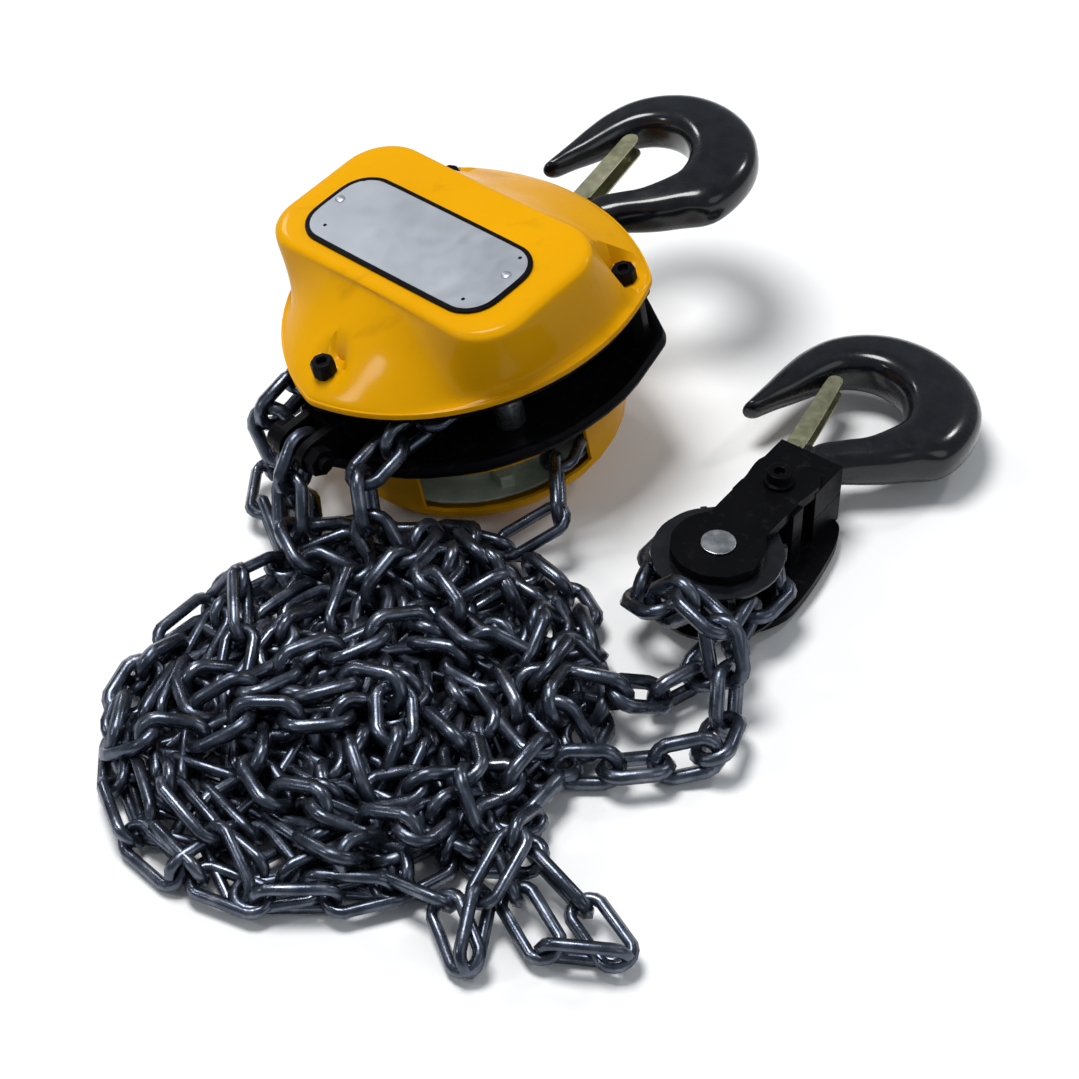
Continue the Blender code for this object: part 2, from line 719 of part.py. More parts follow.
def make_intermediate_gears(finish, parent):
    for i, side in enumerate((1, -1)):
        centre = Vector((side * COUNTER_DISTANCE, 0))
        facing = 0.0 if side < 0 else math.pi
        small = facing + mesh_phase(LOAD_GEAR_TEETH, side) * math.pi / SMALL_PINION_TEETH
        large = facing + mesh_phase(PINION_TEETH, side) * math.pi / DISC_TEETH
        low = disc_level()
        gear = object_of(f"intermediate_gear_{i + 1}", prism(gear_outline(DISC_TEETH, centre, large), low, low + DISC_FACE))
        pinion = gear_outline(SMALL_PINION_TEETH, centre, small)
        join(gear, prism(pinion, GEAR_START, low + DISC_FACE / 2))
        shaft = COUNTER_SHAFT_RADIUS
        top = COVER_HEIGHT - COVER_WALL - CLEARANCE
        join(gear, stepped([(shaft, GEAR_PLATE_LOW), (shaft, top)], 12, centre))
        place(gear, finish, parent, (*centre, 0))


def make_drive_shaft(finish, parent):
    top = COVER_HEIGHT - COVER_WALL - CLEARANCE
    low = DRUM_LOW + DRUM_WALL + CLEARANCE
    shaft = object_of("drive_shaft", stepped([(SHAFT_RADIUS, low), (SHAFT_RADIUS, disc_level()), (SHAFT_RADIUS * 0.6, disc_level()), (SHAFT_RADIUS * 0.6, top)], 16))
    face = prism(gear_outline(PINION_TEETH), disc_level() - RUNNING_GAP, disc_level() + DISC_FACE + RUNNING_GAP)
    join(shaft, face)
    return place(shaft, finish, parent)


def make_bearings(finish, parent):
    inner = JOURNAL_RADIUS + CLEARANCE
    for name, low, high in (
        ("sheave_bearing_gear_side", GEAR_PLATE_LOW, GEAR_PLATE_TOP),
        ("sheave_bearing_hand_side", HAND_PLATE_LOW, HAND_PLATE_TOP),
    ):
        profile = [(inner, low), (BEARING_RADIUS, low), (BEARING_RADIUS, high), (inner, high)]
        place(object_of(name, turned(profile, 18)), finish, parent)


def make_hand_wheel(finish, parent):
    bore = SHAFT_RADIUS + CLEARANCE
    wheel = pocket_wheel(
        "hand_wheel", HAND_PITCH, HAND_WIRE, HAND_WIDTH, HAND_POCKETS, bore, HAND_FLANGE_RADIUS, WHEEL_MIDDLE
    )
    hollow = [
        (HUB_BOSS_RADIUS + 0.002, WHEEL_MIDDLE - WHEEL_HALF_WIDTH - CLEARANCE),
        (HUB_BOSS_RADIUS + 0.022, WHEEL_MIDDLE - WHEEL_HALF_WIDTH - CLEARANCE),
        (HUB_BOSS_RADIUS + 0.020, WHEEL_MIDDLE),
        (HUB_BOSS_RADIUS + 0.002, WHEEL_MIDDLE),
    ]
    carve(wheel, turned(hollow, 16))
    return place(wheel, finish, parent)


def make_wheel_nut(finish, parent):
    bore = SHAFT_RADIUS + CLEARANCE
    top = WHEEL_MIDDLE - WHEEL_HALF_WIDTH - CLEARANCE
    return place(nut_of("wheel_nut", WHEEL_NUT_RADIUS, bore, top - WHEEL_NUT_HEIGHT, top), finish, parent)


# Screw brake

def pawl_place(index):
    angle = math.radians(70 + 180 * index)
    return Vector((PAWL_PIN_DISTANCE * math.cos(angle), PAWL_PIN_DISTANCE * math.sin(angle)))


def make_brake(steel, lining, parent):
    bore = SHAFT_RADIUS + CLEARANCE
    low = SECOND_DISC_TOP
    hub = [
        (bore, low), (HUB_BOSS_RADIUS, low), (HUB_BOSS_RADIUS, FIRST_DISC_TOP + CLEARANCE),
        (FRICTION_RADIUS, FIRST_DISC_TOP + CLEARANCE), (FRICTION_RADIUS, BRAKE_HUB_TOP), (bore, BRAKE_HUB_TOP),
    ]
    place(object_of("brake_hub", turned(hub, 18)), steel, parent)
    for i, top in enumerate((FIRST_DISC_TOP, SECOND_DISC_TOP)):
        low = top - FRICTION_THICKNESS
        ring = [(FRICTION_BORE, low), (FRICTION_RADIUS, low), (FRICTION_RADIUS, top), (FRICTION_BORE, top)]
        place(object_of(f"friction_disc_{i + 1}", turned(ring, 18)), lining, parent)


def pawl_tip_distance():
    # The tip lies just above the root of a ratchet tooth
    return RATCHET_RADIUS - RATCHET_TOOTH + PAWL_TIP_RADIUS + 2 * RUNNING_GAP


def pawl_lean():
    # Angle between the pawl and the line from its pin to the shaft
    pin, length, tip = PAWL_PIN_DISTANCE, PAWL_LENGTH, pawl_tip_distance()
    return math.acos((pin ** 2 + length ** 2 - tip ** 2) / (2 * pin * length))


def pawl_tip(index):
    centre = pawl_place(index)
    inward = -centre.normalized()
    lean = -pawl_lean()
    return centre + PAWL_LENGTH * Vector((
        inward.x * math.cos(lean) - inward.y * math.sin(lean),
        inward.x * math.sin(lean) + inward.y * math.cos(lean),
    ))


def make_ratchet(finish, parent):
    # Saw teeth whose steep faces meet the tips of the pawls
    turn = 2 * math.pi / RATCHET_TEETH
    reach = (PAWL_TIP_RADIUS + PAWL_BACKLASH) / pawl_tip_distance()
    first = angle_of(pawl_tip(0)) + reach
    points = []
    for i in range(RATCHET_TEETH):
        for r, share in ((RATCHET_RADIUS, 0.0), (RATCHET_RADIUS, 0.18), (RATCHET_RADIUS - RATCHET_TOOTH, 0.98)):
            angle = first + turn * (i + share)
            points.append(Vector((r * math.cos(angle), r * math.sin(angle))))
    disc = object_of("ratchet_disc", prism(points, RATCHET_TOP - RATCHET_THICKNESS, RATCHET_TOP))
    bore = HUB_BOSS_RADIUS + CLEARANCE
    carve(disc, stepped([(bore, RATCHET_TOP - 2 * RATCHET_THICKNESS), (bore, HAND_PLATE_TOP)], 18))
    return place(disc, finish, parent)


def make_pawls(finish, parent):
    eye = PAWL_PIN_RADIUS + 0.0024
    for i in range(2):
        centre = pawl_place(i)
        outline = capsule(centre, eye, pawl_tip(i), PAWL_TIP_RADIUS, 5)
        pawl = object_of(f"pawl_{i + 1}", prism(outline, RATCHET_TOP - RATCHET_THICKNESS, RATCHET_TOP))
        drill(pawl, [centre], PAWL_PIN_RADIUS + CLEARANCE, RATCHET_TOP - 2 * RATCHET_THICKNESS, HAND_PLATE_TOP)
        place(pawl, finish, parent, (*centre, RATCHET_TOP))
        low = RATCHET_TOP - RATCHET_THICKNESS - CLEARANCE
        head = PAWL_PIN_RADIUS + 0.0012
        sections = [
            (head, low - 0.0012), (head, low), (PAWL_PIN_RADIUS, low), (PAWL_PIN_RADIUS, HAND_PLATE_TOP),
        ]
        place(object_of(f"pawl_pin_{i + 1}", stepped(sections, 10, centre)), finish, parent)


# Chain guides and anchor

def roller_spread():
    return SHEAVE_RADIUS + LOAD_WIDTH / 2 + ROLLER_RADIUS + 2 * RUNNING_GAP


def make_guides(finish, parent):
    for i, side in enumerate((1, -1)):
        centre = Vector((side * roller_spread(), ROLLER_HEIGHT))
        sections = [
            (ROLLER_STUB_RADIUS, HAND_PLATE_LOW),
            (ROLLER_STUB_RADIUS, HAND_PLATE_TOP + CLEARANCE),
            (ROLLER_RADIUS, HAND_PLATE_TOP + CLEARANCE),
            (ROLLER_RADIUS, GEAR_PLATE_LOW - CLEARANCE),
            (ROLLER_STUB_RADIUS, GEAR_PLATE_LOW - CLEARANCE),
            (ROLLER_STUB_RADIUS, GEAR_PLATE_TOP),
        ]
        place(object_of(f"guide_roller_{i + 1}", stepped(sections, 12, centre)), finish, parent, (*centre, SHEAVE_MIDDLE))
    top = -SHEAVE_FLANGE_RADIUS - 2 * RUNNING_GAP
    low = (-STRIPPER_HALF_WIDTH, top - STRIPPER_DEPTH, HAND_PLATE_TOP + CLEARANCE)
    high = (STRIPPER_HALF_WIDTH, top, GEAR_PLATE_LOW - CLEARANCE)
    stripper = object_of("chain_stripper", box(low, high))
    flat = SHEAVE_RADIUS * math.cos(math.pi / (2 * SHEAVE_POCKETS))
    root = flat - LOAD_WIDTH / 2
    half = STRIPPER_FINGER / 2
    finger = box((-half, top - STRIPPER_DEPTH / 2, SHEAVE_MIDDLE - half), (half, -root - RUNNING_GAP, SHEAVE_MIDDLE + half))
    join(stripper, finger)
    place(stripper, finish, parent)


def anchor_spot():
    reach = ANCHOR_EYE_RADIUS + LOAD_WIRE + ANCHOR_BOLT_RADIUS + 3 * RUNNING_GAP
    return Vector((0, STAYS[0].y - reach, SHEAVE_MIDDLE))


def make_anchor(bracket_finish, bolt_finish, parent):
    # An eye on the lower stay bolt with two cheeks, between which the last link hangs on a bolt
    stay = STAYS[0]
    half = ANCHOR_WIDTH / 2
    spot = anchor_spot()
    low = SHEAVE_MIDDLE - half
    high = SHEAVE_MIDDLE + half
    outer = ANCHOR_GAP / 2 + ANCHOR_CHEEK
    bracket = object_of("chain_anchor", stepped([(ANCHOR_EYE_RADIUS, low), (ANCHOR_EYE_RADIUS, high)], 16, stay))
    side = arc((spot.y, SHEAVE_MIDDLE), half, math.radians(90), math.radians(270), 6)
    side += [Vector((stay.y - STAY_SHOULDER_RADIUS, low)), Vector((stay.y - STAY_SHOULDER_RADIUS, high))]
    turn = Matrix(((0, 0, 1, 0), (1, 0, 0, 0), (0, 1, 0, 0), (0, 0, 0, 1)))
    join(bracket, moved(prism(side, -outer, outer), turn))
    gap = ANCHOR_GAP / 2
    root = spot.y + ANCHOR_BOLT_RADIUS + LOAD_WIRE + 4 * RUNNING_GAP
    carve(bracket, box((-gap, spot.y - ANCHOR_WIDTH, low - half), (gap, root, high + half)))
    bore = STAY_SHOULDER_RADIUS + CLEARANCE
    carve(bracket, stepped([(bore, HAND_PLATE_TOP), (bore, GEAR_PLATE_LOW)], 14, stay))
    hole = ANCHOR_BOLT_RADIUS + CLEARANCE
    carve(bracket, along_x(stepped([(hole, -2 * outer), (hole, 2 * outer)], 10), spot))
    place(bracket, bracket_finish, parent)
    seat = outer + CLEARANCE
    head = [
        (ANCHOR_HEAD_RADIUS, -seat - ANCHOR_HEAD_HEIGHT), (ANCHOR_HEAD_RADIUS, -seat), (ANCHOR_BOLT_RADIUS, -seat),
        (ANCHOR_BOLT_RADIUS, seat + 1.5 * ANCHOR_HEAD_HEIGHT),
    ]
    place(object_of("anchor_bolt", along_x(stepped(head, 12), spot)), bolt_finish, parent)
    nut = nut_of("anchor_nut", ANCHOR_HEAD_RADIUS, hole, seat, seat + ANCHOR_HEAD_HEIGHT)
    nut.data.transform(Matrix.Translation(spot) @ Matrix.Rotation(math.pi / 2, 4, "Y"))
    place(nut, bolt_finish, parent)


# Hooks

def hook_bow():
    # Along the bow from its back to its tip: angle, inner radius as a share of the throat radius,
    # depth as a share of the full depth, thickness as a share of the full thickness
    return (
        (-8, 0.99, 0.94, 1.0), (12, 0.98, 1.02, 1.0), (32, 0.97, 1.07, 1.0), (54, 1.0, 1.04, 1.0),
        (76, 1.04, 0.97, 0.99), (98, 1.09, 0.89, 0.96), (118, 1.10, 0.80, 0.92), (137, 1.09, 0.71, 0.87),
        (156, 1.06, 0.62, 0.80), (175, 1.10, 0.53, 0.71), (191, 1.24, 0.46, 0.61), (203, 1.49, 0.36, 0.50),
        (211, 1.75, 0.24, 0.40),
    )


def hook_throat(angle):
    # Radius of the inner side of the bow at an angle in degrees
    bow = hook_bow()
    for (first, near, *_), (second, far, *_) in zip(bow, bow[1:]):
        if first <= angle <= second:
            return HOOK_THROAT_RADIUS * (near + (far - near) * (angle - first) / (second - first))
    return HOOK_THROAT_RADIUS


def hook_shape(share, shank_end, collar_top):
    # Stations are (inner side, outer side, half thickness). The shank comes from -y, the middle
    # of the throat is the origin, the back of the hook is at +x and the tip at -x
    shank = HOOK_SHANK_RADIUS
    collar = HOOK_COLLAR_RADIUS
    low = collar_top - HOOK_COLLAR_HEIGHT
    axis = HOOK_OFFSET * share
    stations = []
    for radius, y in ((shank, shank_end), (shank, low), (collar, low), (collar, collar_top), (shank, collar_top)):
        stations.append((Vector((axis - radius, y)), Vector((axis + radius, y)), radius))
    throat = HOOK_THROAT_RADIUS * share
    back = (HOOK_THROAT_RADIUS + HOOK_DEPTH) * share
    thick = HOOK_HALF_THICKNESS * share
    neck = HOOK_NECK * share
    stations += [
        (Vector((axis - shank, -0.93 * neck)), Vector((axis + shank, -0.97 * neck)), shank),
        (Vector((axis - shank, -0.77 * neck)), Vector((0.38 * back, -0.85 * neck)), 0.80 * thick),
        (Vector((0.26 * throat, -1.12 * throat)), Vector((0.60 * back, -1.15 * throat)), 0.88 * thick),
        (Vector((0.64 * throat, -0.82 * throat)), Vector((0.76 * back, -0.76 * throat)), 0.94 * thick),
    ]
    for angle, inner, depth, thickness in hook_bow():
        turn = math.radians(angle)
        way = Vector((math.cos(turn), math.sin(turn)))
        reach = throat * inner
        stations.append((way * reach, way * (reach + HOOK_DEPTH * share * depth), thick * thickness))
    inner, outer, last = stations[-1]
    ahead = (stations[-1][0] + outer - stations[-2][0] - stations[-2][1]).normalized()
    middle = (inner + outer) / 2 + ahead * (outer - inner).length * 0.4
    reach = (outer - inner) * 0.27
    stations.append((middle - reach, middle + reach, last * 0.55))
    rings = []
    for inner, outer, thickness in stations:
        middle = (inner + outer) / 2
        reach = (outer - inner) / 2
        rings.append([
            Vector((*(middle + reach * math.cos(t)), thickness * math.sin(t)))
            for t in (2 * math.pi * k / 10 for k in range(10))
        ])
    return loft(rings)


def latch_pivot(share):
    return Vector((HOOK_OFFSET - LATCH_LUG_REACH, -LATCH_LUG_BACK)) * share


def latch_tip(share):
    angle = math.radians(LATCH_REST_ANGLE)
    reach = hook_throat(LATCH_REST_ANGLE) * share - LATCH_WIDTH / 2 - 3 * CLEARANCE
    return Vector((reach * math.cos(angle), reach * math.sin(angle)))


def make_hook(prefix, share, hook_finish, latch_finish, parent, centre, shank_end, collar_top):
    # The hook lies in its parent's xy plane with the middle of its throat at centre
    shift = Matrix.Translation(centre)
    pivot = latch_pivot(share)
    hook = object_of(f"{prefix}_hook", moved(hook_shape(share, shank_end, collar_top), shift))
    half = LATCH_LUG_THICKNESS / 2
    root = Vector((HOOK_OFFSET * share, pivot.y + LATCH_LUG_RADIUS / 4))
    join(hook, moved(prism(capsule(pivot, LATCH_LUG_RADIUS, root, LATCH_LUG_RADIUS, 6), -half, half), shift))
    hole = LATCH_RIVET_RADIUS + CLEARANCE
    carve(hook, moved(stepped([(hole, -2 * half), (hole, 2 * half)], 10, pivot), shift))
    place(hook, hook_finish, parent, centre)
    gap = half + CLEARANCE
    outer = gap + LATCH_WALL
    tip = latch_tip(share)
    eye = LATCH_LUG_RADIUS - 0.0008
    strip = prism(capsule(pivot, eye, tip, LATCH_WIDTH / 2, 5), -outer, outer)
    latch = object_of(f"{prefix}_latch", moved(strip, shift))
    heading = (tip - pivot).normalized()
    side = Vector((heading.y, -heading.x))
    clear = LATCH_LUG_RADIUS + 2 * CLEARANCE
    slot = [
        pivot - heading * 2 * clear + side * 2 * clear,
        tip + heading * 2 * clear + side * 2 * clear,
        tip + heading * 2 * clear - side * (LATCH_WIDTH / 2 - LATCH_WALL),
        pivot + heading * clear * 1.6 - side * (LATCH_WIDTH / 2 - LATCH_WALL),
        pivot + heading * clear - side * 2 * clear,
        pivot - heading * 2 * clear - side * 2 * clear,
    ]
    carve(latch, moved(prism(slot, -gap, gap), shift))
    carve(latch, moved(stepped([(hole, -2 * outer), (hole, 2 * outer)], 10, pivot), shift))
    spot = Vector(centre) + Vector((*pivot, 0))
    place(latch, latch_finish, parent, spot)
    head = outer + CLEARANCE
    cap = LATCH_RIVET_RADIUS + 0.001
    sections = [
        (cap, -head - 0.001), (cap, -head), (LATCH_RIVET_RADIUS, -head),
        (LATCH_RIVET_RADIUS, head), (cap, head), (cap, head + 0.001),
    ]
    rivet = moved(stepped(sections, 10, pivot), shift)
    place(object_of(f"{prefix}_latch_rivet", rivet), latch_finish, parent, spot)


def make_top_hook(finishes, parent):
    pin = [(TOP_PIN_RADIUS, HAND_PLATE_LOW), (TOP_PIN_RADIUS, GEAR_PLATE_TOP)]
    place(object_of("top_pin", stepped(pin, 16, Vector((0, TOP_PIN_HEIGHT)))), finishes["steel"], parent)
    swing = Matrix.Rotation(math.radians(TOP_HOOK_SWING), 3, "Z")
    frame = empty("top_hook_frame", (0, TOP_PIN_HEIGHT, SHEAVE_MIDDLE), swing, parent)
    half = YOKE_THICKNESS / 2
    wide = YOKE_HALF_WIDTH
    outline = arc((0, 0), YOKE_EYE_RADIUS, math.radians(180), math.radians(360), 8)
    outline += [Vector((wide, 0.010)), Vector((wide, YOKE_REACH - 0.003)), Vector((wide - 0.003, YOKE_REACH))]
    outline += [Vector((-p.x, p.y)) for p in reversed(outline[-3:])]
    yoke = object_of("top_hook_yoke", prism(outline, -half, half))
    bore = TOP_PIN_RADIUS + CLEARANCE
    carve(yoke, stepped([(bore, -2 * half), (bore, 2 * half)], 16))
    wall = YOKE_REACH - YOKE_WALL
    nut_low = wall - CLEARANCE - HOOK_NUT_HEIGHT
    room = HOOK_NUT_RADIUS + CLEARANCE
    carve(yoke, box((-room, nut_low - CLEARANCE, -2 * half), (room, wall, 2 * half)))
    hole = HOOK_SHANK_RADIUS + CLEARANCE
    carve(yoke, along_y(stepped([(hole, wall - 0.001), (hole, YOKE_REACH + 0.001)], 14), (0, 0, 0)))
    place(yoke, finishes["black"], frame)
    collar = YOKE_REACH + CLEARANCE
    neck = HOOK_NECK * TOP_HOOK_SHARE
    centre = (-HOOK_OFFSET * TOP_HOOK_SHARE, collar + HOOK_COLLAR_HEIGHT + neck, 0)
    shank_end = nut_low - centre[1]
    make_hook("top", TOP_HOOK_SHARE, finishes["forged"], finishes["zinc"], frame, centre, shank_end, -neck)
    nut = [(hole, nut_low), (HOOK_NUT_RADIUS, nut_low), (HOOK_NUT_RADIUS, nut_low + HOOK_NUT_HEIGHT), (hole, nut_low + HOOK_NUT_HEIGHT)]
    place(object_of("top_hook_nut", along_y(turned(nut, 12), (0, 0, 0))), finishes["black"], frame)


# Bottom block

# Outline of the jaw as shares of its reach and of the distance from the axle to the block's head end
JAW_SHAPE = (
    (0.0, -0.12), (0.50, -0.14), (0.84, -0.04), (1.0, 0.12), (1.0, 0.28), (0.94, 0.50),
    (0.82, 0.76), (0.66, 0.92), (0.42, 0.98), (0.0, 0.98),
)


def make_bottom_block(finishes, parent):
    low = BLOCK_MIDDLE - BLOCK_SPACE / 2
    high = BLOCK_MIDDLE + BLOCK_SPACE / 2
    waist = [Vector((BLOCK_WAIST, 0.36 * BLOCK_LENGTH)), Vector((BLOCK_WAIST, 0.80 * BLOCK_LENGTH))]
    outline = arc((0, 0), BLOCK_LOBE_RADIUS, math.radians(130), math.radians(410), 9) + waist
    outline += arc((0, BLOCK_LENGTH), BLOCK_NOSE_RADIUS, math.radians(-20), math.radians(200), 8)
    outline += [Vector((-p.x, p.y)) for p in reversed(waist)]
    head_end = BLOCK_LENGTH + BLOCK_HEAD_LENGTH
    post = Vector((0, BLOCK_BOLT_PLACE))
    hole = STAY_RADIUS + CLEARANCE
    shank = HOOK_SHANK_RADIUS + 2 * CLEARANCE
    collar = HOOK_COLLAR_RADIUS + 2 * CLEARANCE
    wide = BLOCK_HEAD_HALF_WIDTH
    collar_low = BLOCK_LENGTH + BLOCK_HEAD_LENGTH * 0.3
    collar_high = collar_low + HOOK_COLLAR_HEIGHT + 2 * CLEARANCE
    for name, plate_low, plate_high, meet in (
        ("block_half_lower", low - BLOCK_PLATE, low, BLOCK_MIDDLE - CLEARANCE / 2),
        ("block_half_upper", high, high + BLOCK_PLATE, BLOCK_MIDDLE + CLEARANCE / 2),
    ):
        half = object_of(name, prism(outline, plate_low, plate_high))
        if plate_low < BLOCK_MIDDLE - BLOCK_SPACE / 2:
            # The lower half reaches out on one side as a jaw under the chain
            jaw = [Vector((x * BLOCK_JAW_REACH, y * head_end)) for x, y in JAW_SHAPE]
            join(half, prism(jaw, plate_low + CLEARANCE, plate_high - CLEARANCE))
        middle = (plate_low + plate_high) / 2
        start = min(middle, meet)
        end = max(middle, meet)
        join(half, box((-wide, BLOCK_LENGTH, start), (wide, head_end, end)))
        join(half, stepped([(BLOCK_POST_RADIUS, start), (BLOCK_POST_RADIUS, end)], 10, post))
        for side in (-1, 1):
            edges = sorted((side * wide, side * (wide - BLOCK_WALL_THICKNESS)))
            wall_end = BLOCK_WALL_START + BLOCK_WALL_LENGTH
            join(half, box((edges[0], BLOCK_WALL_START, start), (edges[1], wall_end, end)))
        drill(half, [post], hole, low - 2 * BLOCK_PLATE, high + 2 * BLOCK_PLATE)
        drill(half, [Vector((0, 0))], AXLE_RADIUS + CLEARANCE, plate_low - BLOCK_PLATE, plate_high + BLOCK_PLATE, 16)
        bore = [(shank, BLOCK_LENGTH - BLOCK_NOSE_RADIUS), (shank, head_end + BLOCK_PLATE)]
        carve(half, along_y(stepped(bore, 12), (0, 0, BLOCK_MIDDLE)))
        carve(half, along_y(stepped([(collar, collar_low), (collar, collar_high)], 12), (0, 0, BLOCK_MIDDLE)))
        place(half, finishes["black"], parent)
    bolt_head = high + BLOCK_PLATE + CLEARANCE
    nut = low - BLOCK_PLATE - CLEARANCE
    sections = [
        (STAY_HEAD_RADIUS, 0.0), (STAY_HEAD_RADIUS, nut), (STAY_RADIUS, nut), (STAY_RADIUS, bolt_head),
        (STAY_HEAD_RADIUS * 1.25, bolt_head), (STAY_HEAD_RADIUS * 1.25, bolt_head + 0.0015),
        (STAY_HEAD_RADIUS, bolt_head + 0.0015), (STAY_HEAD_RADIUS, bolt_head + STAY_HEAD_HEIGHT),
        (SOCKET_RADIUS, bolt_head + STAY_HEAD_HEIGHT), (SOCKET_RADIUS, bolt_head + STAY_HEAD_HEIGHT - SOCKET_DEPTH),
    ]
    place(object_of("block_bolt", stepped(sections, 10, post)), finishes["black"], parent)
    axle = [(AXLE_RADIUS, low - BLOCK_PLATE), (AXLE_RADIUS, high + BLOCK_PLATE + AXLE_STAND_OUT)]
    place(object_of("idler_axle", stepped(axle, 16)), finishes["steel"], parent)
    wheel = pocket_wheel(
        "idler_sheave", LOAD_PITCH, LOAD_WIRE, LOAD_WIDTH, IDLER_POCKETS, AXLE_RADIUS + CLEARANCE,
        IDLER_FLANGE_RADIUS, BLOCK_MIDDLE,
    )
    place(wheel, finishes["cast"], parent)
    centre = (-HOOK_OFFSET, head_end + BLOCK_SHANK_ROOM + HOOK_NECK, 0)
    frame = empty("bottom_hook_frame", (0, 0, BLOCK_MIDDLE), Matrix.Identity(3), parent)
    collar_top = collar_high - CLEARANCE - centre[1]
    shank_end = BLOCK_BOLT_PLACE + BLOCK_POST_RADIUS + 2 * CLEARANCE - centre[1]
    make_hook("bottom", 1.0, finishes["forged"], finishes["zinc"], frame, centre, shank_end, collar_top)


# Chains

def link_section(wire):
    # Pentagon about the wire: (distance from the inner side, distance across the link's plane)
    return ((0.0, -0.275), (0.52, -0.52), (1.0, 0.0), (0.52, 0.52), (0.0, 0.275))


def chain_shape(joints, axes, sides, pitch, wire, inner_width, first_upright=False):
    # Round-wire links through the joints. Neighbouring links are turned a quarter and are one
    # body where their crowns bear on each other, which is a small square at each joint.
    shape = bmesh.new()
    flat = 0.275 * wire
    half = inner_width / 2
    lean = half - flat
    corners = [
        (0, flat), (0, -flat), (lean, -half), (pitch - lean, -half),
        (pitch, -flat), (pitch, flat), (pitch - lean, half), (lean, half),
    ]
    count = len(corners)
    miters = []
    for i in range(count):
        before = Vector(corners[i]) - Vector(corners[i - 1])
        after = Vector(corners[(i + 1) % count]) - Vector(corners[i])
        first = Vector((before.y, -before.x)).normalized()
        second = Vector((after.y, -after.x)).normalized()
        miters.append((first + second) / (1 + first.dot(second)))
    section = link_section(wire)
    shared = {}
    for i in range(len(joints) - 1):
        upright = (i % 2 == 0) == first_upright
        frames = []
        for j in (i, i + 1):
            across = axes[j].cross(sides[j])
            frames.append((joints[j], axes[j], across if upright else sides[j], sides[j] if upright else across))
        loops = []
        for k in range(count):
            loop = []
            for out, over in section:
                s = corners[k][0] + miters[k].x * out * wire
                a = corners[k][1] + miters[k].y * out * wire
                b = over * wire
                share = min(1.0, max(0.0, s / pitch))
                ends = [
                    place_ + axis * (s - offset) + w * a + t * b
                    for (place_, axis, w, t), offset in zip(frames, (0, pitch))
                ]
                loop.append(ends[0].lerp(ends[1], share))
            loops.append(loop)
        verts = []
        for k, loop in enumerate(loops):
            joint = i if k in (0, 1) else i + 1 if k in (4, 5) else None
            row = []
            for m, point in enumerate(loop):
                if joint is not None and m in (0, 4) and 0 < joint < len(joints) - 1:
                    row.append(shared_vertex(shape, shared, joint, point))
                else:
                    row.append(shape.verts.new(point))
            verts.append(row)
        size = len(section)
        for k in range(count):
            following = (k + 1) % count
            for m in range(size):
                n = (m + 1) % size
                if m == size - 1 and ((k == 0 and i > 0) or (k == 4 and i < len(joints) - 2)):
                    continue
                shape.faces.new((verts[k][m], verts[k][n], verts[following][n], verts[following][m]))
    bmesh.ops.recalc_face_normals(shape, faces=shape.faces)
    return shape


def shared_vertex(shape, shared, joint, point):
    # Both links at a joint use the same four corners of their bearing square
    for vertex in shared.setdefault(joint, []):
        if (vertex.co - point).length < 1e-5:
            return vertex
    vertex = shape.verts.new(point)
    shared[joint].append(vertex)
    return vertex


def smooth_path(points, steps):
    # Catmull-Rom curve through the points
    ends = [points[0] * 2 - points[1], *points, points[-1] * 2 - points[-2]]
    path = []
    for a, b, c, d in zip(ends, ends[1:], ends[2:], ends[3:]):
        for i in range(steps):
            t = i / steps
            path.append(0.5 * (2 * b + (c - a) * t + (2 * a - 5 * b + 4 * c - d) * t * t + (3 * b - a - 3 * c + d) * t ** 3))
    return path + [points[-1]]


def march(path, pitch, count=None):
    # Points one pitch apart in a straight line, along a path
    joints = [path[0]]
    for a, b in zip(path, path[1:]):
        while (b - joints[-1]).length >= pitch:
            step = b - a
            low, high = 0.0, 1.0
            for _ in range(40):
                middle = (low + high) / 2
                if (a + step * middle - joints[-1]).length < pitch:
                    low = middle
                else:
                    high = middle
            joints.append(a + step * high)
            a = joints[-1]
            if count and len(joints) > count:
                return joints
    return joints


def path_frames(joints, side, known=None):
    # Direction and side of the path at each joint, the side carried along from where it is known
    axes = []
    for i in range(len(joints)):
        before = joints[max(0, i - 1)]
        after = joints[min(len(joints) - 1, i + 1)]
        axes.append((after - before).normalized())
    sides = [None] * len(joints)
    known = known or 0
    sides[known] = (side - axes[known] * side.dot(axes[known])).normalized()
    for order in (range(known + 1, len(joints)), range(known - 1, -1, -1)):
        last = sides[known]
        for i in order:
            last = (last - axes[i] * last.dot(axes[i])).normalized()
            sides[i] = last
    return axes, sides


def make_chain(names, cuts, joints, side, known, sizes, finish, parity):
    # Splits one route into its nodes at the joints listed in cuts
    pitch, wire, inner_width = sizes
    axes, sides = path_frames(joints, side, known)
    bounds = [0, *cuts, len(joints) - 1]
    made = []
    for name, first, last in zip(names, bounds, bounds[1:]):
        run = [joint.copy() for joint in joints[first:last + 1]]
        if first > 0:
            run[0] -= axes[first] * CLEARANCE
        upright = (first + parity) % 2 == 1
        shape = chain_shape(run, axes[first:last + 1], sides[first:last + 1], pitch, wire, inner_width, upright)
        made.append(place(object_of(name, shape), finish, None))
    return made


def wheel_joints(matrix, middle, pitch, pockets, first, count):
    # Joints on a pocket wheel: first and count are in links from the flat link at the wheel's +x side
    radius = link_radius(pitch, pockets)
    turn = math.pi / pockets
    angles = [turn * (first + i - 0.5) for i in range(count + 1)]
    return [matrix @ Vector((radius * math.cos(a), radius * math.sin(a), middle)) for a in angles]


def strand(start, points, pitch):
    return march(smooth_path([start, *points], 24), pitch)


